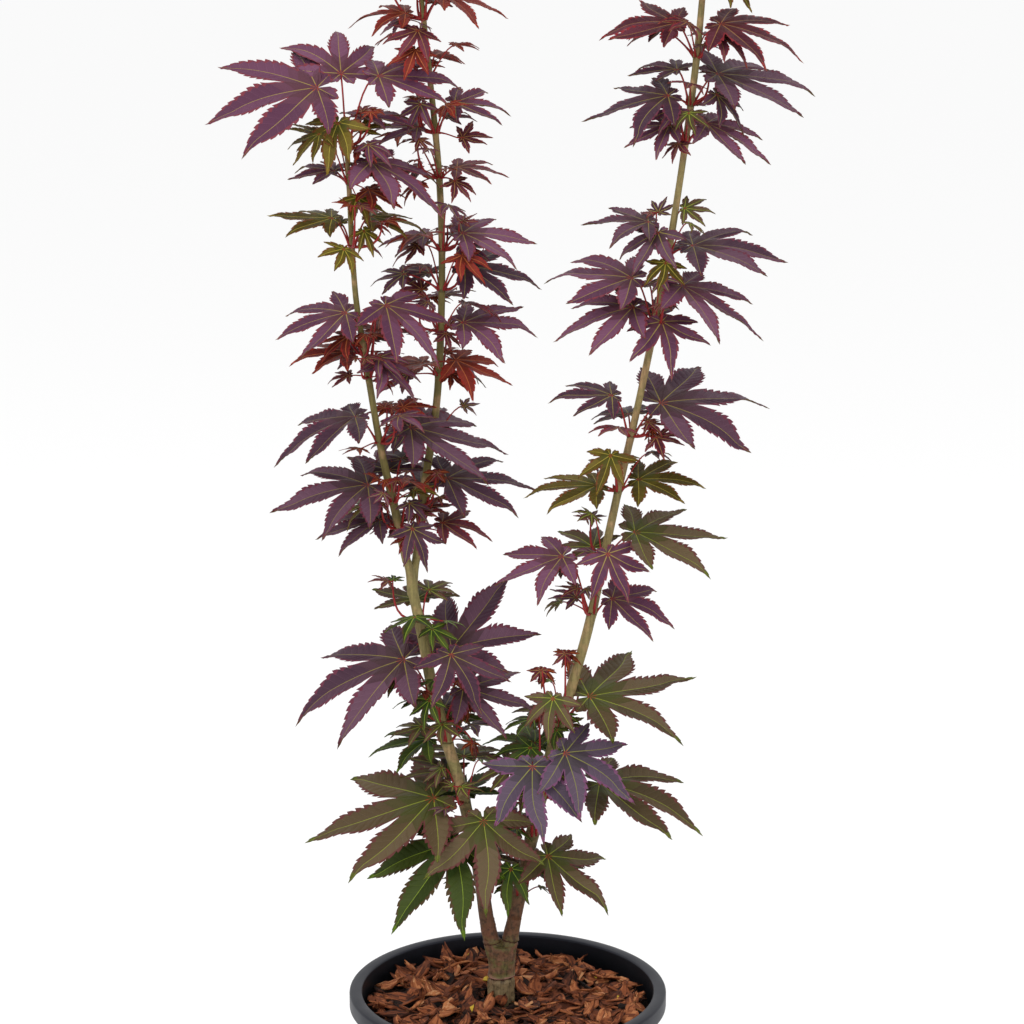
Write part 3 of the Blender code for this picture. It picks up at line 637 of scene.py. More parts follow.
def fused_fork(name, tubes):
    """A forked limb: its tubes run into each other, then one even skin is drawn over them."""
    piece = joined_piece(name, [one_slot(*made) for made in tubes], [])
    applied(piece, "REMESH", mode="VOXEL", voxel_size=SKIN_GRID)
    applied(piece, "SMOOTH", factor=SOFTEN, iterations=SOFTEN_TIMES)
    return piece


# Thin young bark shows the green under it. It goes from a ribbed grey-green below the graft through a mottled
# pinkish brown with green patches at the fork to a satin olive with tan patches above.
bark, shader = new_material("young_maple_bark", "#7D7A50", 0.62, 0.3)
where = add_node(bark, "ShaderNodeTexCoord")
up = add_node(bark, "ShaderNodeSeparateXYZ", {"Vector": where.outputs["Object"]})


def bark_patches(size, low, high, most, **grain):
    """A pattern of patches of some size, and the mask that it makes between two levels."""
    patches = add_node(bark, "ShaderNodeTexNoise", {
        "Vector": where.outputs["Object"], "Scale": 1 / size, **grain})
    mask = add_node(bark, "ShaderNodeMapRange", {
        "Value": patches.outputs["Fac"], "From Min": low, "From Max": high, "To Max": most})
    return patches.outputs["Fac"], mask.outputs["Result"]


def by_height(low, high, first, last):
    """A value that goes from first to last between two heights."""
    mask = add_node(bark, "ShaderNodeMapRange", {
        "Value": up.outputs["Z"], "From Min": low, "From Max": high, "To Min": first, "To Max": last})
    return mask.outputs["Result"]


def tinted(colour, code, *masks):
    """A colour with another laid over it where all the masks let it through."""
    cover = masks[0]
    for mask in masks[1:]:
        cover = add_node(bark, "ShaderNodeMath", {0: cover, 1: mask}, operation="MULTIPLY").outputs["Value"]
    return add_node(bark, "ShaderNodeMix", {"Factor": cover, "A": colour, "B": srgb(code)},
                    data_type="RGBA").outputs["Result"]


sway, _ = bark_patches(30 * MM, 0.4, 0.6, 1.0, Detail=2.0)
drift = add_node(bark, "ShaderNodeMath", {0: sway, 1: 0.03}, operation="MULTIPLY")
level = add_node(bark, "ShaderNodeMath", {0: up.outputs["Z"], 1: drift.outputs["Value"]}, operation="ADD")
share = add_node(bark, "ShaderNodeMapRange", {
    "Value": level.outputs["Value"], "From Min": 0.21, "From Max": 1.03})
heights = add_node(bark, "ShaderNodeValToRGB", {"Fac": share.outputs["Result"]})
# The bark's colours from the foot of the trunk to the top of the canes, by the share of the way up.
stops = ((0.0, "#7A6546"), (0.036, "#7C694B"), (0.044, "#7A563F"), (0.080, "#6E4530"), (0.12, "#64452D"),
         (0.17, "#6C5A36"), (0.23, "#8C8050"), (0.38, "#887C4C"), (0.46, "#726636"), (0.85, "#6F6436"),
         (1.0, "#6C6330"))
ramp = heights.color_ramp.elements
while len(ramp) < len(stops):
    ramp.new(0.5)
for element, (place, code) in zip(ramp, stops):
    element.position = place
    element.color = srgb(code)
on_canes = by_height(0.27, 0.36, 0.0, 1.0)
on_trunk = by_height(0.250, 0.268, 1.0, 0.0)
over_graft = by_height(0.226, 0.229, 0.12, 1.0)
_, tan_patch = bark_patches(14 * MM, 0.50, 0.66, 0.6, Detail=3.0)
_, green_patch = bark_patches(8 * MM, 0.46, 0.58, 0.75, Detail=4.0)
mottle, dark_spot = bark_patches(3.4 * MM, 0.48, 0.62, 1.0, Detail=7.0, Roughness=0.7)
right = add_node(bark, "ShaderNodeMapRange", {
    "Value": up.outputs["X"], "From Min": 0.01, "From Max": 0.06, "To Max": 0.65})
colour = tinted(heights.outputs["Color"], "#958456", right.outputs["Result"], by_height(0.36, 0.44, 0.0, 1.0))
colour = tinted(colour, "#B8906A", tan_patch, on_canes)
colour = tinted(colour, "#5A5C2E", green_patch, on_trunk, over_graft)
colour = tinted(colour, "#2C1F16", dark_spot, by_height(0.27, 0.42, 0.72, 0.2))
stretch = add_node(bark, "ShaderNodeMapping", {"Vector": where.outputs["Object"], "Scale": (1.0, 1.0, 0.10)})
stripes = add_node(bark, "ShaderNodeTexNoise", {
    "Vector": stretch.outputs["Vector"], "Scale": 1 / (1.8 * MM), "Detail": 4.0})
stripe = add_node(bark, "ShaderNodeMapRange", {
    "Value": stripes.outputs["Fac"], "From Min": 0.42, "From Max": 0.62, "To Max": 0.36})
link(bark, tinted(colour, "#3E3620", stripe.outputs["Result"]), shader, "Base Color")
fine = add_node(bark, "ShaderNodeBump", {
    "Height": stripes.outputs["Fac"], "Strength": 0.5, "Distance": 0.5 * MM})
rough = add_node(bark, "ShaderNodeBump", {
    "Height": mottle, "Strength": 0.5, "Distance": 0.9 * MM, "Normal": fine.outputs["Normal"]})
link(bark, rough.outputs["Normal"], shader, "Normal")
scar, _ = new_material("leaf_joint_scar", "#554A2E", 0.8, 0.2)
callus, _ = new_material("graft_callus", "#8F6A5C", 0.8, 0.2)
# A dark bark colour for the graft's crease and the creases round the stumps' collars, as painted shade.
crease_painted_shade, _ = new_material("bark_crease_painted_shade", "#442C24", 0.9, 0.1)

paths = {name: smooth_stations(stations, SKIN_SPACING) for name, stations, _ in LIMBS}
joints = {name: [row[0] * MM for row in masses] for name, _, masses in LIMBS}


def forked_tubes(name, forks, sunk):
    """The tubes of a limb and of its forks."""
    return [limb_skin(paths[name], joints[name], sunk),
            *(limb_skin(smooth_stations(fork, SKIN_SPACING), (), 0.0) for fork in forks)]


def above_graft(spot):
    """How far a place on the trunk is above the tilted ring of the graft."""
    return spot.z - GRAFT_HEIGHT - GRAFT_TILT * (spot.x - TRUNK_FOOT[0])


def past_collar(spot):
    """How far a place on the trunk is past the uneven collar of the stump on its side."""
    for foot, way in stump_axes:
        if (spot.x - TRUNK_FOOT[0]) * way.x > 0:
            yield (spot - foot).dot(way) + noise.noise(spot * 90) * COLLAR_WANDER


def hump(offset, width):
    """A smooth hump: one in its middle and almost nothing at twice its width."""
    return math.exp(-(offset / width) ** 2)


trunk = fused_fork("trunk_bark", forked_tubes("trunk", TRUNK_FORKS, SUNK_FOOT))
stump_axes = []
for _, *ends in TRUNK_FORKS:
    foot, top = (Vector(end[:3]) * MM for end in ends)
    way = (top - foot).normalized()
    stump_axes.append((foot - way * COLLAR_ALONG, way))
for vertex in trunk.data.vertices:
    spot = vertex.co
    turn = math.atan2(spot.y, spot.x - TRUNK_FOOT[0])
    above = above_graft(spot)
    below = min(1.0, max(0.0, -above / RIBS_FADE))
    relief = uneven(math.cos(turn) * 7, math.sin(turn) * 7, spot.z * 50) * RIB_HEIGHT * below
    relief += GRAFT_RIDGE * hump(above, 0.9 * MM) - GRAFT_CREASE * hump(above + CREASE_BELOW, 1 * MM)
    for along in past_collar(spot):
        relief += COLLAR_RIDGE * hump(along - 1.2 * MM, 1 * MM) - COLLAR_CREASE * hump(along, 0.7 * MM)
    relief += uneven(spot.x * 120, spot.y * 120, spot.z * 700) * WRINKLE_HEIGHT
    relief += noise.noise(spot * 170) * BARK_LUMP
    vertex.co += vertex.normal * relief
bough = fused_fork("left_bough_bark", forked_tubes("left_bough", BOUGH_FORKS, SUNK_END))
limb_pieces = {"trunk": trunk, "left_bough": bough}
for name in ("right_cane", "left_cane", "middle_cane"):
    skin = limb_skin(paths[name], joints[name], SUNK_END)
    limb_pieces[name] = joined_piece(f"{name}_bark", [one_slot(*skin)], [])
for name, piece in limb_pieces.items():
    for material in (bark, scar, callus, crease_painted_shade):
        piece.data.materials.append(material)
    for face in piece.data.polygons:
        spot = face.center
        wander = 1.2 * MM * noise.noise(spot * 260)
        if any(abs(spot.z + wander - joint) < 0.7 * MM for joint in joints[name]):
            face.material_index = SCAR
        if name == "trunk":
            # The faces in the graft's crease and in the collars' creases take the dark colour as painted
            # shade.
            above = above_graft(spot)
            if abs(above) < 0.45 * MM:
                face.material_index = CALLUS
            elif -1.6 * MM < above < 0 and noise.noise(spot * 150) > -0.1:
                face.material_index = CREASE_PAINTED_SHADE
            if any(abs(along) < 0.4 * MM for along in past_collar(spot)):
                face.material_index = CREASE_PAINTED_SHADE
    piece.data.shade_smooth()
    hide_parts(name)

# The shoots: at each joint a short stem carries the leaves of one mass on long petioles. This is the rule
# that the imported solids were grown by, with the same draws, so each fine leaf stands where its solid is.
LOBES = ((-88, 0.64), (-43, 0.90), (0, 1.0), (43, 0.90), (88, 0.64))
LOBE_WIDEST = 0.42
LOBE_HALF_ANGLE = 18.5
SINUS = 0.25
PLAIN_NOTCH = 22
PLAIN_SINUS = 0.275
LEAF_DROOP = 0.16
FULL_LEAF = 57 * MM
LEAF_THICKNESS = 1.1 * MM
CLEAR_THICKNESS = 3.4 * MM
CLEAR_SCALE = 1.03
STEM_GAP = 0.3 * MM
STEM_RADII = (1.7 * MM, 1.7 * MM, 1.4 * MM)
STEM_START = 4 * MM
STEM_OUT = 3 * MM
STEM_UP = 4 * MM
STEM_UP_SHARE = 0.45
PETIOLE_RADIUS = 0.9 * MM
PETIOLE_FOOT_RADIUS = 1 * MM
PETIOLE_SEAT = (6 * MM, 0.0, -0.25 * MM)
ROOT_DEPTH = 3.5 * MM
REACH_BASE = 6 * MM
REACH_SHARE = 0.16
RING_SPACING = 25 * MM
LIGHT_TILT = 17.0
FRONT_HANG = 34.0
MORE_SHARES = (0.5, 0.72)
MORE_RISES = (2 * MM, 26 * MM)
MORE_SWING = 55
DIPS = (-6, 9)
TWIST = 8
SPACE_SHARE = 1.7
LEAST_SPACE = 80 * MM
TRIES = 14
STEM_STRAY = 80
PAIR_SPREAD = 0.8
BACK = 90.0
OUTSIDE = 30 * MM
TURN_STRAY = 34
OUT_STRAY = 18 * MM
UP_STRAY = (-9 * MM, 16 * MM)
DIP_STRAY = (-14, 26)
SHRINK = 0.22


def search_tree(mesh):
    """A search tree of a mesh's faces."""
    places = [vertex.co.copy() for vertex in mesh.vertices]
    return BVHTree.FromPolygons(places, [tuple(face.vertices) for face in mesh.polygons])


def finished_mesh(shape):
    """The mesh of a shape that has been modelled."""
    mesh = bpy.data.meshes.new("coarse")
    shape.to_mesh(mesh)
    shape.free()
    return mesh


def coarse_blade(length, thickness, scale=1.0):
    """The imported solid's leaf blade: its petiole's end at the origin, its middle lobe along +X."""
    full = length >= FULL_LEAF
    shape = bmesh.new()
    hub = shape.verts.new((0.0, 0.0, 0.0))

    def rim(turn, share):
        reach = share * length * scale
        angle = math.radians(turn)
        drop = LEAF_DROOP * share * share * length
        return shape.verts.new((reach * math.cos(angle), reach * math.sin(angle), -drop))

    after = None
    for index, (turn, share) in enumerate(LOBES):
        last = index == len(LOBES) - 1
        before = after
        if full:
            right = rim(turn - LOBE_HALF_ANGLE, share * LOBE_WIDEST)
            tip = rim(turn, share)
            left = rim(turn + LOBE_HALF_ANGLE, share * LOBE_WIDEST)
            shape.faces.new((hub, right, left))
            shape.faces.new((right, tip, left))
            if before:
                shape.faces.new((hub, before, right))
            if not last:
                after = rim((turn + LOBES[index + 1][0]) / 2, SINUS)
                shape.faces.new((hub, left, after))
        else:
            before = before or rim(turn - LOBE_HALF_ANGLE, share * LOBE_WIDEST)
            tip = rim(turn, share)
            side = (turn + LOBE_HALF_ANGLE, share * LOBE_WIDEST)
            after = rim(*side) if last else rim(turn + PLAIN_NOTCH, PLAIN_SINUS)
            shape.faces.new((hub, before, tip))
            shape.faces.new((hub, tip, after))
    shape.normal_update()
    bmesh.ops.solidify(shape, geom=shape.faces[:], thickness=thickness)
    middle = sum(vertex.co.z for vertex in shape.verts if vertex.co.xy.length < MM) / 2
    bmesh.ops.translate(shape, verts=shape.verts, vec=(0.0, 0.0, -middle))
    return finished_mesh(shape)


def placed_blade(place, size, *thickness):
    """A coarse blade in its place."""
    mesh = coarse_blade(size, *thickness)
    mesh.transform(place)
    return mesh


def coarse_stalk(start, end):
    """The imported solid's petiole, a slender three-sided stalk."""
    way = end - start
    shape = bmesh.new()
    matrix = Matrix.Translation((start + end) / 2) @ way.to_track_quat("Z", "Y").to_matrix().to_4x4()
    bmesh.ops.create_cone(shape, cap_ends=True, segments=3, radius1=PETIOLE_FOOT_RADIUS,
                          radius2=PETIOLE_RADIUS, depth=way.length, matrix=matrix)
    return finished_mesh(shape)


def coarse_stem(places, radii):
    """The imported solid's stem, a four-sided tube."""
    points, triangles = tube(places, radii, 4)
    mesh = bpy.data.meshes.new("stem")
    mesh.from_pydata(points.tolist(), [], triangles.tolist())
    return mesh


def upwards(rise):
    """A step straight up."""
    return Vector((0.0, 0.0, rise))


def turned(angle, axis):
    """A turn by an angle in degrees."""
    return Matrix.Rotation(math.radians(angle), 4, axis)


def heading(bearing):
    """The level direction of a bearing in degrees."""
    return Vector((math.cos(math.radians(bearing)), math.sin(math.radians(bearing)), 0.0))


def natural_reach(length):
    """How far from its limb's middle a leaf of some length starts."""
    return REACH_BASE + REACH_SHARE * length


def leaf_frame(hub, bearing, dip, twist):
    """Places a blade at hub, turned to a bearing, dipped at its tip and tilted towards the light."""
    turn = turned(LIGHT_TILT, "X") @ turned(bearing, "Z") @ turned(dip, "Y") @ turned(twist, "X")
    return Matrix.Translation(hub) @ turn


class Crown:
    """Remembers what stands where, so that each new leaf keeps clear of limbs and other leaves."""

    def __init__(self):
        self.shapes = []

    def measured(self, mesh):
        """A mesh's middle, its reach from there and its search tree."""
        places = [vertex.co for vertex in mesh.vertices]
        middle = sum(places, Vector()) / len(places)
        return middle, max((place - middle).length for place in places), search_tree(mesh)

    def add(self, mesh):
        self.shapes.append(self.measured(mesh))

    def touches(self, mesh):
        middle, size, tree = self.measured(mesh)
        near = [other for place, reach, other in self.shapes if (place - middle).length < reach + size]
        return any(tree.overlap(other) for other in near)


def limb_point(path, height):
    """The middle of a limb at a height."""
    for low, high in zip(path, path[1:]):
        if low.z <= height <= high.z:
            return low.xyz.lerp(high.xyz, (height - low.z) / (high.z - low.z))
    return path[-1].xyz.copy()


def wanted_leaves(chance, leaves, more, average):
    """The leaves that a mass should bear: those given, and some more behind and in front."""
    wanted = []
    for bearing, length, rise, *given in leaves:
        reach = given[0] * MM if given else natural_reach(length * MM)
        wanted.append((bearing, length * MM, rise * MM, reach))
    for index in range(more):
        side = BACK if index % 2 == 0 else -BACK
        length = average * chance.uniform(*MORE_SHARES)
        bearing = side + chance.uniform(-MORE_SWING, MORE_SWING)
        wanted.append((bearing, length, chance.uniform(*MORE_RISES), natural_reach(length)))
    return wanted


def grow_mass(crown, limb_tree, path, row, seed):
    """One mass: the place of its joint, and the place and length of each leaf."""
    height, _, leaves, more = row
    chance = random.Random(seed)
    joint = limb_point(path, height * MM)
    middle = sum((heading(leaf[0]) for leaf in leaves), Vector())
    stem_bearing = math.degrees(math.atan2(middle.y, middle.x)) if middle.length > PAIR_SPREAD else BACK
    lift = min(leaf[2] for leaf in leaves) * MM
    for attempt in range(TRIES):
        outward = heading(stem_bearing + chance.uniform(-STEM_STRAY, STEM_STRAY) * attempt / TRIES)
        hit, normal, _, _ = limb_tree.ray_cast(joint + outward * OUTSIDE, -outward)
        root = hit + normal * STEM_GAP
        knee = root + normal * STEM_START
        tip = knee + outward * STEM_OUT + upwards(max(STEM_UP, lift * STEM_UP_SHARE))
        stem = coarse_stem([root, knee, tip], STEM_RADII)
        if not crown.touches(stem):
            break
    stalks = []
    grown = []
    home = joint + upwards(lift)
    average = sum(leaf[1] for leaf in leaves) / len(leaves) * MM
    space = max(average * SPACE_SHARE, LEAST_SPACE)
    start = tip - (tip - knee).normalized() * ROOT_DEPTH
    for bearing, length, rise, reach in wanted_leaves(chance, leaves, more, average):
        dip = chance.uniform(*DIPS)
        twist = chance.uniform(-TWIST, TWIST)
        for attempt in range(TRIES):
            loose = attempt / TRIES
            turn = bearing + chance.uniform(-TURN_STRAY, TURN_STRAY) * loose
            out = reach + chance.uniform(0, OUT_STRAY) * loose
            up = rise + chance.uniform(*UP_STRAY) * loose
            size = length * (1.0 - SHRINK * loose)
            hang = dip + chance.uniform(*DIP_STRAY) * loose
            hang += FRONT_HANG * max(0.0, -math.sin(math.radians(turn)))
            place = leaf_frame(joint + heading(turn) * out + upwards(up), turn, hang, twist)
            if (place @ Vector((size, 0.0, 0.0)) - home).length > space:
                continue
            wide = placed_blade(place, size, CLEAR_THICKNESS, CLEAR_SCALE)
            stalk = coarse_stalk(start, place @ Vector(PETIOLE_SEAT))
            if crown.touches(wide) or crown.touches(stalk):
                continue
            crown.add(placed_blade(place, size, LEAF_THICKNESS))
            stalks.append(stalk)
            grown.append((place, size))
            break
    for stalk in (*stalks, stem):
        crown.add(stalk)
    return {"joint": joint, "leaves": grown}


crown = Crown()
for name, _, _ in LIMBS:
    crown.add(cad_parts[name].data)
shoots = []
for name, stations, masses in LIMBS:
    path = smooth_stations(stations, RING_SPACING)
    limb_tree = search_tree(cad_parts[name].data)
    for index, row in enumerate(masses, start=1):
        shoot = grow_mass(crown, limb_tree, path, row, f"{name} {row[0]}")
        shoots.append({**shoot, "limb": name, "node": f"{name}_leaves_{index}", "tint": row[1]})

# Young growth: from each joint a few small leaves and wiry red shoots follow later than the main pair, most
# of them between the left and middle canes, and green ones low down. They keep clear of what stands there
# already. A few shoots near the right cane's foot have withered, with crumpled leaves at their ends.
FOOT_JOINTS = 0.32
LOW_JOINTS = 0.43
# For each zone of the plant: the small leaves and twigs of a joint, the least and most length of a leaf, the
# tints to choose from and the bearing of the other cane that half of them grow towards.
YOUNG_GROWTH = {
    "foot": (1, 0, (10, 18), ("green", "bronze"), None),
    "low": (4, 1, (12, 30), ("green", "bronze", "green", "dusk"), None),
    "left_bough": (3, 1, (12, 30), ("green", "wine", "bronze", "red"), None),
    "right_cane": (2, 1, (11, 28), ("wine", "dusk", "bronze", "wine"), None),
    "left_cane": (5, 2, (12, 34), ("red", "wine", "red", "olive", "purple"), 0.0),
    "middle_cane": (5, 2, (11, 32), ("red", "wine", "red", "dusk", "purple"), 180.0),
}
# Young leaves that some joints are sure to bear: bearing, how far out, rise, length, tint and dip.
PLACED_YOUNG = {
    "left_cane_leaves_8": ((-112, 12, 16, 40, "olive", 26),),
    "left_cane_leaves_7": ((-60, 12, -8, 26, "olive", 30),),
    "right_cane_leaves_16": ((-28, 15, 6, 34, "olive", 34), (-150, 13, 14, 24, "bronze", 20)),
    "right_cane_leaves_12": ((-100, 13, -4, 24, "olive", 30),),
    "middle_cane_leaves_13": ((-140, 13, 10, 24, "olive", 10), (-60, 12, -6, 22, "bronze", 30)),
}
YOUNG_TOP = 1.005
# Withered shoots, from the joints of some masses: where their ends are from there, and their leaves.
WITHERED = {
    "right_cane_leaves_6": ((3, -9, 52, 4), (-13, -10, 40, 2)),
    "right_cane_leaves_5": ((-4, -12, 52, 2),),
    "left_bough_leaves_5": ((17, -9, 14, 2), (22, -6, -14, 2)),
    "right_cane_leaves_10": ((13, -8, 6, 2),),
    "middle_cane_leaves_2": ((10, -9, 24, 3),),
}
YOUNG_TRIES = 9
YOUNG_OUT = (0, 16 * MM)
YOUNG_RISE = (-4 * MM, 34 * MM)
YOUNG_DIP = (-28, 30)
YOUNG_TWIST = (-25, 25)
YOUNG_THICKNESS = 1.6 * MM
TWIG_LENGTH = (14 * MM, 36 * MM)
TWIG_OUT = (0.35, 0.8)
TWIG_RISE = (0.5, 1.0)
TWIG_LEAF = (8 * MM, 17 * MM)
TWIG_LEAF_TURN = (30, 100)
TWIG_LEAF_DIP = (-40, 20)
TWIG_LEAF_THICKNESS = 1.2 * MM
WITHERED_LEAF = (9, 16)
WITHERED_DIP = (72, 104)
FOOT_IN = 0.7
TWIG_CLEAR = 0.9 * MM
SHARE_TOWARDS = 0.5
TOWARDS_SPREAD = 70


def arc(start, first, second, end, count):
    """Places along a cubic curve."""
    row = []
    for t in (step / (count - 1) for step in range(count)):
        near = start * (1 - t) ** 3 + first * 3 * t * (1 - t) ** 2
        row.append(near + second * 3 * t * t * (1 - t) + end * t ** 3)
    return row


def limb_radius(path, height):
    """The radius of a limb at a height."""
    return min(path, key=lambda row: abs(row.z - height)).w


def young_bearing(chance, towards):
    """A bearing for a young shoot: all round, or half of them towards the other cane."""
    if towards is not None and chance.random() < SHARE_TOWARDS:
        return towards + chance.uniform(-TOWARDS_SPREAD, TOWARDS_SPREAD)
    return chance.uniform(-180, 180)


def settled(crown, meshes):
    """Adds meshes to the crown if none of them touches what is there."""
    if any(crown.touches(mesh) for mesh in meshes):
        return False
    for mesh in meshes:
        crown.add(mesh)
    return True


def level_way(step):
    """The level direction of a step."""
    return Vector((step.x, step.y, 0.0)).normalized()


def young_place(crown, chance, joint, radius, size, towards):
    """A free place for a small leaf of a joint, or None."""
    for _ in range(YOUNG_TRIES):
        bearing = young_bearing(chance, towards)
        out = natural_reach(size) + chance.uniform(*YOUNG_OUT)
        hub = joint + heading(bearing) * out + upwards(chance.uniform(*YOUNG_RISE))
        place = leaf_frame(hub, bearing, chance.uniform(*YOUNG_DIP), chance.uniform(*YOUNG_TWIST))
        stalk = coarse_stalk(joint + heading(bearing) * (radius + 2 * MM), place @ Vector(PETIOLE_SEAT))
        blade = placed_blade(place, size, YOUNG_THICKNESS)
        if hub.z < YOUNG_TOP and settled(crown, (blade, stalk)):
            return place
    return None


def young_twig(crown, chance, joint, radius, tints, towards):
    """A twig that stands free, with a pair of leaves at its end, or None."""
    for _ in range(YOUNG_TRIES):
        bearing = young_bearing(chance, towards)
        length = chance.uniform(*TWIG_LENGTH)
        foot = joint + heading(bearing) * radius * FOOT_IN
        top = foot + heading(bearing) * length * chance.uniform(*TWIG_OUT)
        top.z += length * chance.uniform(*TWIG_RISE)
        row = arc(foot, foot + heading(bearing) * length * 0.5, top - upwards(length * 0.4), top, 8)
        ends = []
        for side in (-1, 1):
            size = chance.uniform(*TWIG_LEAF)
            turn = bearing + side * chance.uniform(*TWIG_LEAF_TURN)
            place = leaf_frame(top + heading(turn) * 3 * MM, turn, chance.uniform(*TWIG_LEAF_DIP), 0.0)
            ends.append((place, size, chance.choice(tints)))
        place, size, _ = ends[0]
        blade = placed_blade(place, size, TWIG_LEAF_THICKNESS)
        stem = coarse_stem(row[3:], [TWIG_CLEAR] * len(row[3:]))
        if top.z < YOUNG_TOP - 4 * MM and settled(crown, (stem, blade)):
            return row, ends
    return None


def withered_twig(chance, joint, radius, x, y, z, leaves):
    """A withered twig up to a place beside its joint, with crumpled leaves at its end."""
    top = joint + Vector((x, y, z)) * MM
    level = level_way(Vector((x, y, z)))
    foot = joint + level * radius * FOOT_IN
    row = arc(foot, foot + level * 9 * MM, top - Vector((x * 0.1, 0, z * 0.4)) * MM, top, 10)
    ends = []
    for index in range(leaves):
        turn = 360 * index / leaves + chance.uniform(-50, 50)
        hub = top + heading(turn) * 1.2 * MM
        place = leaf_frame(hub, turn, chance.uniform(*WITHERED_DIP), chance.uniform(-60, 60))
        ends.append((place, chance.uniform(*WITHERED_LEAF) * MM, "wine"))
    return row, ends


def grow_young(crown, shoot):
    """The small leaves of a joint, and its twigs, each with the leaves at its end."""
    joint = shoot["joint"]
    kind = shoot["limb"]
    if joint.z < LOW_JOINTS:
        kind = "foot" if joint.z < FOOT_JOINTS else "low"
    leaves, twigs, sizes, tints, towards = YOUNG_GROWTH[kind]
    chance = random.Random(f"{shoot['node']} young")
    radius = limb_radius(paths[shoot["limb"]], joint.z)
    young = []
    for bearing, out, rise, size, tint, dip in PLACED_YOUNG.get(shoot["node"], ()):
        hub = joint + heading(bearing) * out * MM + upwards(rise * MM)
        place = leaf_frame(hub, bearing, dip, chance.uniform(-10, 10))
        crown.add(placed_blade(place, size * MM, YOUNG_THICKNESS))
        young.append((place, size * MM, tint))
    for _ in range(leaves):
        size = chance.uniform(*sizes) * MM
        tint = chance.choice(tints)
        young.append((young_place(crown, chance, joint, radius, size, towards), size, tint))
    grown = [young_twig(crown, chance, joint, radius, tints[:2], towards) for _ in range(twigs)]
    grown += [withered_twig(chance, joint, radius, *row) for row in WITHERED.get(shoot["node"], ())]
    return [leaf for leaf in young if leaf[0]], [twig for twig in grown if twig]


for shoot in shoots:
    shoot["young"], shoot["twigs"] = grow_young(crown, shoot)

# The leaf blades: thin papery leaves of five main lobes and two small basal ones. Each lobe is elliptic, with
# an even foot, forward saw teeth and a slender tip. A pale midrib runs up it, with fine side veins that end
# in the teeth. Each blade is a closed lens 0.4 mm thick.
BLADE_LOBES = ((-132, 0.22), *LOBES, (132, 0.22))
# The outline of a lobe past its sinus: places along it, and their share of its greatest width.
BLADE_WIDTHS = ((0.12, 0.93), (0.30, 1.0), (0.45, 0.93), (0.60, 0.71), (0.74, 0.44), (0.86, 0.21),
                (0.94, 0.09), (1.0, 0.0))
LOBE_WIDTH = (0.052, 0.088)
SINUS_REACH = (0.165, 0.14)
BASAL_SIDE = (38, 0.11)
HUB_ROWS = 3
PLAIN_FOOT = (0.0, 0.08)
TOOTHED = (0.16, 0.94)
VEIN_SLANT = 0.8
TOOTH_TIP = 0.016
TOOTH_NOTCH = 0.013
TOOTH_LEAN = 1.12
SIDE_VEIN = 0.30 * MM
QUILT = 0.0048
BLADE_THICKNESS = 0.4 * MM
VEIN_HALF_WIDTH = 0.38 * MM
VEIN_TAPER = 0.75
TIP_START = 0.86
# How much each lobe may differ: its bearing, the hook of its tip, its length, droop, roll and curl, and where
# its waves start. FOLD is how far the lobes fold up along their midribs, and WAVE is a height and a pace.
LOBE_WHIMS = ((-4, 4), (-9, 9), (-0.11, 0.01), (0.5, 1.5), (-0.3, 0.3), (-0.05, 0.16), (0, 6))
FOLD = (0.12, 0.34)
WAVE = (0.012, 19)
# Each kind of blade: the least leaf that has it, the length it is drawn for, the teeth on its middle lobe and
# the places of its points between midrib and rim. Small leaves have fewer teeth.
BLADE_KINDS = (
    (66 * MM, 80 * MM, 9, (0.46, 0.86)),
    (46 * MM, 56 * MM, 7, (0.46, 0.85)),
    (30 * MM, 38 * MM, 5, (0.82,)),
    (17 * MM, 23 * MM, 3, (0.80,)),
    (0, 13 * MM, 2, (0.78,)),
)
FIELD, RIM, TIP, MIDRIB, HUB, SIDE, BASE, BLEND = range(8)
BLEND_END = 0.12


def lobe_rows(share, teeth):
    """The rows along a lobe past its sinus: the place, how far the edge stands out and the row's kind."""
    rows = [(t, 0.0, "plain") for t in PLAIN_FOOT] + [(TOOTHED[0], 0.0, "vein")]
    count = max(2, round(teeth * share))
    pitch = (TOOTHED[1] - TOOTHED[0]) / count
    for tooth in range(count):
        low = TOOTHED[0] + pitch * tooth
        fade = min(1.0, 1.5 * (1 - low))
        rows.append((low + pitch * 0.5, TOOTH_TIP * 0.35 * fade, "plain"))
        rows.append((low + pitch * TOOTH_LEAN, TOOTH_TIP * fade, "tooth"))
        rows.append((low + pitch, -TOOTH_NOTCH * fade, "vein"))
    rows.append((1.0, 0.0, "plain"))
    return rows


def lobe_edge(index, side, rows):
    """One edge of a lobe, from the hub to its tip: how far along the midrib and how far out from it."""
    turn, share = BLADE_LOBES[index]
    if 0 <= index + side < len(BLADE_LOBES):
        other_turn, other_share = BLADE_LOBES[index + side]
        spread = abs(other_turn - turn) / 2
        reach = SINUS_REACH[0] + SINUS_REACH[1] * min(share, other_share)
    else:
        spread, reach = BASAL_SIDE
    along, out = reach * math.cos(math.radians(spread)), reach * math.sin(math.radians(spread))
    edge = [(along * row / HUB_ROWS, out * row / HUB_ROWS) for row in range(HUB_ROWS)]
    stations = [0.0, *(station for station, _ in BLADE_WIDTHS)]
    widest = LOBE_WIDTH[0] + LOBE_WIDTH[1] * share
    widths = [out, *(width * widest for _, width in BLADE_WIDTHS)]
    for t, tooth, _ in rows:
        edge.append((along + (share - along) * t, float(np.interp(t, stations, widths)) + tooth))
    return edge


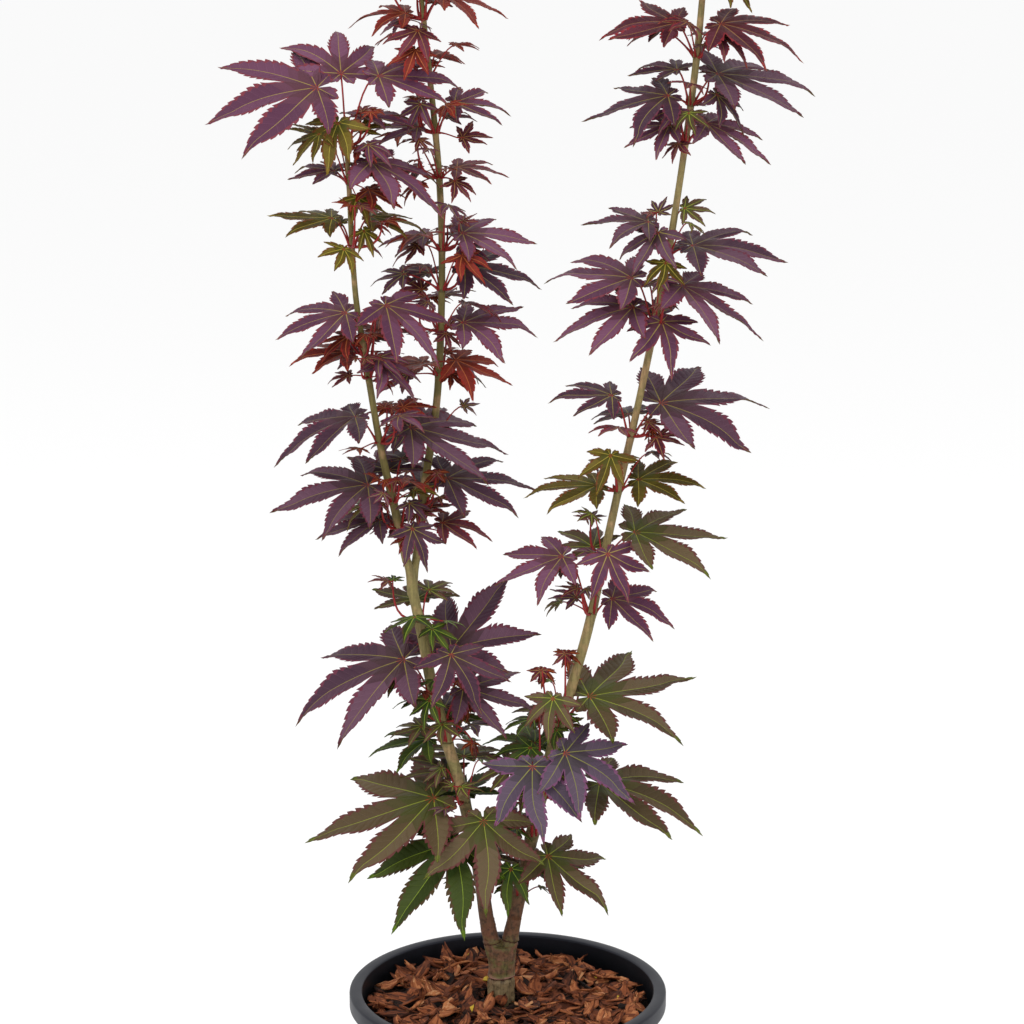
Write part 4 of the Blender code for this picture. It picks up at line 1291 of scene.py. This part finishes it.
def face_zone(row, column, last, t, kind):
    """The zone of a blade's face, by its row and column and how far along the lobe it is."""
    if column == 0:
        return HUB if row == 0 else MIDRIB
    if t > TIP_START:
        return TIP
    if column == last and row >= HUB_ROWS:
        return RIM
    if kind == "tooth":
        return SIDE
    if t < BLEND_END:
        return BASE if row < HUB_ROWS else BLEND
    return FIELD


def blade_pattern(length, teeth, columns):
    """A flat blade one unit long: its points and their place in their lobes, its faces and their zones."""
    vein = VEIN_HALF_WIDTH / length
    shift = SIDE_VEIN / length
    numbers = {}
    places = []
    insides = []
    triangles = []
    zones = []
    halves = []

    def corner_number(x, y, turn, quilt, across):
        angle = math.radians(turn)
        place = (x * math.cos(angle) - y * math.sin(angle), x * math.sin(angle) + y * math.cos(angle))
        key = (round(place[0], 6), round(place[1], 6))
        if key not in numbers:
            numbers[key] = len(places)
            places.append(place)
            insides.append((y, across, quilt))
        return numbers[key]

    for index, (turn, share) in enumerate(BLADE_LOBES):
        rows = lobe_rows(share, teeth)
        kinds = ["plain"] * HUB_ROWS + [kind for _, _, kind in rows]
        edges = [lobe_edge(index, side, rows) for side in (-1, 1)]
        spine = [(right[0] + left[0]) / 2 - VEIN_SLANT * (right[1] + left[1]) / 2
                 for right, left in zip(*edges)]
        for side, edge in zip((-1, 1), edges):
            grid = []
            for row, (x, y) in enumerate(edge):
                tooth = kinds[row] == "tooth"
                foot = spine[row + tooth]
                base = edge[row + tooth]
                half = vein * (1 - VEIN_TAPER * foot / share)
                rib = min(0.3, half / y) if y > 0 else 0.0
                quilt = 1.0 if kinds[row] == "plain" else -1.0
                line = []
                for across in (0.0, rib, *columns):
                    across_x = foot + (base[0] - foot) * across - shift * tooth
                    line.append(corner_number(across_x, side * base[1] * across, turn, quilt, across))
                line.append(corner_number(x, side * y, turn, 0.0, 1.0))
                grid.append(line)
            for row, (low, high) in enumerate(zip(grid, grid[1:])):
                t = 0 if row < HUB_ROWS else rows[row - HUB_ROWS][0]
                for column in range(len(low) - 1):
                    zone = face_zone(row, column, len(low) - 2, t, kinds[row])
                    a, b, c, d = low[column], high[column], high[column + 1], low[column + 1]
                    for face in ((a, b, c), (a, c, d)):
                        if len(set(face)) == 3:
                            triangles.append(face if side > 0 else face[::-1])
                            zones.append(zone)
                            halves.append(index * 2 + (side > 0))
    triangles = np.array(triangles)
    edges = np.sort(np.concatenate([triangles[:, pair] for pair in ([0, 1], [1, 2], [2, 0])]), axis=1)
    unique, counts = np.unique(edges, axis=0, return_counts=True)
    inner = np.ones(len(places), bool)
    inner[unique[counts == 1].ravel()] = False
    under = np.arange(len(places))
    under[inner] = len(places) + np.arange(inner.sum())
    return {"places": np.array(places), "insides": np.array(insides), "triangles": triangles,
            "zones": np.array(zones), "halves": np.array(halves), "inner": inner, "under": under}


patterns = [blade_pattern(length, teeth, columns) for _, length, teeth, columns in BLADE_KINDS]


def along_lobes(values, angles):
    """A value of each lobe, held across its middle and blended over to the next lobe's."""
    turns = [turn + side for turn, _ in BLADE_LOBES for side in (-13, 13)]
    return np.interp(angles, turns, np.repeat(values, 2))


def blade(place, size, chance):
    """One leaf in the world: points, triangles and zones; the underside's zones are below zero."""
    pattern = patterns[next(kind for kind, row in enumerate(BLADE_KINDS) if size >= row[0])]
    x, y = pattern["places"].T
    side, across, quilt = pattern["insides"].T
    angles = np.degrees(np.arctan2(y, x))
    reach = np.hypot(x, y)
    free = np.clip((reach - 0.25) / 0.5, 0, 1)
    yaw, hook, stretch, droop, roll, curl, phase = (
        along_lobes([chance.uniform(*span) for _ in BLADE_LOBES], angles) for span in LOBE_WHIMS)
    turn = np.radians(angles + yaw + hook * free ** 2)
    height = -LEAF_DROOP * droop * reach ** 2 + chance.uniform(*FOLD) * np.abs(side) + roll * free * side
    height -= curl * np.clip((reach - 0.62) / 0.38, 0, 1) ** 2
    height += WAVE[0] * np.sin(reach * WAVE[1] + phase) * across ** 2 * free
    height += QUILT * quilt * (across > 0.2) * (reach > 0.05)
    reach = reach * (1 + stretch)
    points = np.stack([reach * np.cos(turn), reach * np.sin(turn), height], axis=1) * size
    faces = pattern["triangles"]
    first, second, third = (points[faces[:, column]] for column in range(3))
    normals = np.cross(second - first, third - first)
    directions = np.zeros_like(points)
    for column in range(3):
        np.add.at(directions, faces[:, column], normals)
    directions /= np.linalg.norm(directions, axis=1)[:, None] + 1e-12
    inner = pattern["inner"]
    below = points[inner] - directions[inner] * min(BLADE_THICKNESS, size * 0.012)
    triangles = np.concatenate([faces, pattern["under"][faces][:, ::-1]])
    zones = np.concatenate([pattern["zones"], -1 - pattern["zones"]])
    halves = np.concatenate([pattern["halves"], pattern["halves"]])
    return placed(np.concatenate([points, below]), place), triangles, zones, halves


# Each tint: its four field colours from dark to light, then its rim, tips, midribs, underside and the blade's
# foot. The colour of the lower face is its own hue, darkened as painted shade. They are dealt out mass by
# mass: mauve to plum above, violet and bronze-green below, red when young.
LEAF_TINTS = {
    "purple": (("#553146", "#633C52", "#70475E", "#7E546C"),
               "#74343F", "#6E3444", "#948048", "#5A4522", "#57343F"),
    "dusk": (("#442C3A", "#523745", "#604252", "#6F4E60"),
             "#643040", "#5C2E3A", "#8A7C42", "#54401C", "#463035"),
    "violet": (("#403441", "#4B3D4C", "#574857", "#645363"),
               "#6E4462", "#7C4469", "#7E7C42", "#484A22", "#42393F"),
    "wine": (("#4C222C", "#5C2D38", "#6A3642", "#78424E"),
             "#80282F", "#82282E", "#966E42", "#5E2A18", "#50262A"),
    "red": (("#5C1E1A", "#6C2620", "#7C2E24", "#8E3A28"),
            "#86261E", "#923024", "#A85C34", "#6C2A16", "#5E241A"),
    "bronze": (("#473A26", "#53442E", "#5E4E38", "#5F5738"),
               "#5E3430", "#565A24", "#848C34", "#4A441A", "#464722"),
    "green": (("#2F3A14", "#3A461A", "#46521F", "#505C26"),
              "#4A3A22", "#4E641C", "#7F9430", "#444E1A", "#33461A"),
    "olive": (("#473C14", "#57491A", "#665720", "#74652A"),
              "#6A3E20", "#70581E", "#9A8C38", "#52461A", "#4C4A1A"),
}
# Some leaves have turned on their petioles to face the light from the front: for each of them how far it is
# turned, tipped and rolled, in degrees.
TURNED_LEAVES = {
    ("left_cane_leaves_8", 0): (18, 0, -20),
    ("left_cane_leaves_8", 1): (0, -32, 0),
    ("left_cane_leaves_3", 1): (20, -4, 6),
    ("middle_cane_leaves_2", 0): (14, -4, 6),
    ("middle_cane_leaves_7", 0): (24, -6, 0),
    ("left_bough_leaves_6", 1): (8, -26, 0),
    ("right_cane_leaves_10", 1): (16, -4, 0),
    ("right_cane_leaves_6", 0): (24, -8, 6),
    ("right_cane_leaves_3", 1): (26, 0, 0),
}
LEAF_NET = 1.7 * MM
WAX_PATCH = 9 * MM
CREASE_ANGLE = 60
HUB_RED = "#A4502E"
FIELD_SHADES = 4
PIECE_TRIANGLES = 190000
ZONE_SLOTS = {zone: FIELD_SHADES + index for index, zone in enumerate((RIM, TIP, MIDRIB, HUB, BASE, BLEND))}
UNDER_PAINTED_SHADE_SLOT = FIELD_SHADES + len(ZONE_SLOTS)
UNDER_RIB_SLOT = UNDER_PAINTED_SHADE_SLOT + 1


def leaf_material(name, code, roughness):
    """Leaf skin: satin with a fine net of veins; the wax makes it shine a little unevenly."""
    material, shader = new_material(name, code, roughness, 0.12)
    spot = add_node(material, "ShaderNodeTexCoord").outputs["Object"]
    net = add_node(material, "ShaderNodeTexVoronoi", {"Vector": spot, "Scale": 1 / LEAF_NET},
                   feature="DISTANCE_TO_EDGE")
    relief = add_node(material, "ShaderNodeBump", {
        "Height": net.outputs["Distance"], "Strength": 0.5, "Distance": 0.4 * MM})
    link(material, relief.outputs["Normal"], shader, "Normal")
    wax = add_node(material, "ShaderNodeTexNoise", {"Vector": spot, "Scale": 1 / WAX_PATCH})
    shine = add_node(material, "ShaderNodeMapRange", {
        "Value": wax.outputs["Fac"], "From Min": 0.35, "From Max": 0.65,
        "To Min": roughness - 0.08, "To Max": roughness + 0.08})
    link(material, shine.outputs["Result"], shader, "Roughness")
    return material


def mixed(first, second):
    """The hex colour halfway between two."""
    halfway = [(int(first[at:at + 2], 16) + int(second[at:at + 2], 16)) // 2 for at in (1, 3, 5)]
    return "#" + "".join(f"{part:02X}" for part in halfway)


def tint_materials(tint):
    """The materials of one tint, in the order of their slots."""
    fields, rim, tip, midrib, underside_with_painted_shade, base = LEAF_TINTS[tint]
    rows = [(f"leaf_{index}", code, 0.5) for index, code in enumerate(fields, start=1)]
    # The colour of the lower face is darkened as painted shade.
    rows += [("leaf_rim", rim, 0.5), ("leaf_tip", tip, 0.5), ("midrib", midrib, 0.55),
             ("leaf_hub", HUB_RED, 0.55), ("leaf_base", base, 0.5),
             ("leaf_blend", mixed(base, fields[1]), 0.5), ("underside_with_painted_shade", underside_with_painted_shade, 0.65),
             ("underside_vein", HUB_RED, 0.6)]
    return [leaf_material(f"{tint}_{part}", code, roughness) for part, code, roughness in rows]


def dealt_slots(zones, halves, shade, chance):
    """The material slot of each face of a leaf: each half of a lobe has a shade near the leaf's own."""
    drift = [shade + chance.choice((-1, 0, 0, 1)) for _ in range(len(BLADE_LOBES) * 2)]
    slots = np.clip(drift, 0, FIELD_SHADES - 2)[halves]
    slots[zones == SIDE] += 1
    for zone, slot in ZONE_SLOTS.items():
        slots[zones == zone] = slot
    # Lower faces take their own colour, darkened as painted shade.
    slots[zones < 0] = UNDER_PAINTED_SHADE_SLOT
    slots[(zones == -1 - MIDRIB) | (zones == -1 - HUB)] = UNDER_RIB_SLOT
    return slots


leaf_pieces = {tint: [] for tint in LEAF_TINTS}
for shoot in shoots:
    for index, (place, size) in enumerate(shoot["leaves"]):
        for angle, axis in zip(TURNED_LEAVES.get((shoot["node"], index), ()), "ZYX"):
            place = place @ turned(angle, axis)
        shoot["leaves"][index] = (place, size)
    dealt = [(place, size, shoot["tint"]) for place, size in shoot["leaves"]] + shoot["young"]
    dealt += [end for _, ends in shoot["twigs"] for end in ends]
    for index, (place, size, tint) in enumerate(dealt):
        chance = random.Random(f"{shoot['node']} leaf {index}")
        shade = chance.choice((0, 1, 1, 2))
        points, triangles, zones, halves = blade(place, size, chance)
        pieces = leaf_pieces[tint]
        if not pieces or pieces[-1]["count"] + len(triangles) > PIECE_TRIANGLES:
            pieces.append({"chunks": [], "nodes": [], "count": 0})
        pieces[-1]["chunks"].append((points, triangles, dealt_slots(zones, halves, shade, chance)))
        pieces[-1]["count"] += len(triangles)
        if shoot["node"] not in pieces[-1]["nodes"]:
            pieces[-1]["nodes"].append(shoot["node"])
for tint, pieces in leaf_pieces.items():
    materials = tint_materials(tint)
    for number, part in enumerate(pieces, start=1):
        name = f"{tint}_leaves" if len(pieces) == 1 else f"{tint}_leaves_{number}"
        piece = joined_piece(name, part["chunks"], materials)
        piece.data.shade_smooth()
        piece.data.set_sharp_from_angle(angle=math.radians(CREASE_ANGLE))
        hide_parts(*part["nodes"])

# The petioles: straight, wiry red stalks as long as a finger joint, swollen where they clasp the limb, with a
# pointed red bud in each axil.
PETIOLE_FINE_RADII = np.array((1.35, 0.85, 0.66, 0.60, 0.60, 0.60, 0.62, 0.72)) * MM
PETIOLE_SINK = 0.7
PETIOLE_LIFT = 0.35
PETIOLE_BENDS = (0.33, 0.22)
YOUNG_STALK = 0.78
TWIG_RADII = (1.1 * MM, 0.5 * MM)
TWIG_STALK = 0.45 * MM
BUD_SIZE = (1.1 * MM, 1.1 * MM, 2.6 * MM)
BUD_LEAN = 0.35
STALK_SIDES = 6


def petiole(joint, radius, place, radii):
    """A petiole from its limb's side to a leaf's hub."""
    hub = place @ upwards(-0.3 * MM)
    level = level_way(hub - joint)
    foot = joint + level * radius * PETIOLE_SINK
    span = (hub - foot).length
    leaf_way = (place.to_3x3() @ Vector((1.0, 0.0, 0.0))).normalized()
    lift = (hub - foot).normalized() + upwards(PETIOLE_LIFT)
    start, end = PETIOLE_BENDS
    row = arc(foot, foot + lift * span * start, hub - leaf_way * span * end, hub, len(radii))
    return tube(row, radii, STALK_SIDES)


bpy.ops.mesh.primitive_uv_sphere_add(segments=8, ring_count=6, radius=1.0)
bud_points, bud_triangles = mesh_arrays(bpy.context.object)
bud_points[:, :2] *= 1 - 0.75 * np.clip(bud_points[:, 2:], 0, 1) ** 1.5
stalk_chunks = []
for shoot in shoots:
    joint = shoot["joint"]
    radius = limb_radius(paths[shoot["limb"]], joint.z)
    for place, _ in shoot["leaves"]:
        stalk_chunks.append(one_slot(*petiole(joint, radius, place, PETIOLE_FINE_RADII)))
    for place, _, _ in shoot["young"]:
        stalk_chunks.append(one_slot(*petiole(joint, radius, place, PETIOLE_FINE_RADII * YOUNG_STALK)))
    for row, ends in shoot["twigs"]:
        stalk_chunks.append(one_slot(*tube(row, np.linspace(*TWIG_RADII, len(row)), STALK_SIDES)))
        top = row[-1]
        for place, _, _ in ends:
            hub = place.translation
            bend = arc(top, top.lerp(hub, 0.4), top.lerp(hub, 0.7), hub, 3)
            stalk_chunks.append(one_slot(*tube(bend, [TWIG_STALK] * len(bend), STALK_SIDES - 1)))
    for place, _ in shoot["leaves"][:2]:
        level = level_way(place.translation - joint)
        spot = joint + level * radius * 1.05 + upwards(BUD_SIZE[2])
        lean = (level * BUD_LEAN + upwards(1.0)).to_track_quat("Z", "Y").to_matrix().to_4x4()
        matrix = Matrix.Translation(spot) @ lean @ Matrix.Diagonal((*BUD_SIZE, 1.0))
        stalk_chunks.append(one_slot(placed(bud_points, matrix), bud_triangles, 1))
stalk_red = leaf_material("petiole_red", "#8E2C2C", 0.45)
bud_red = leaf_material("bud_scale", "#7A2420", 0.5)
stalks = joined_piece("petioles", stalk_chunks, [stalk_red, bud_red])
stalks.data.shade_smooth()

size = {"cad": [list(corner) for corner in cad_box], "visual": [list(corner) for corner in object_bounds()]}
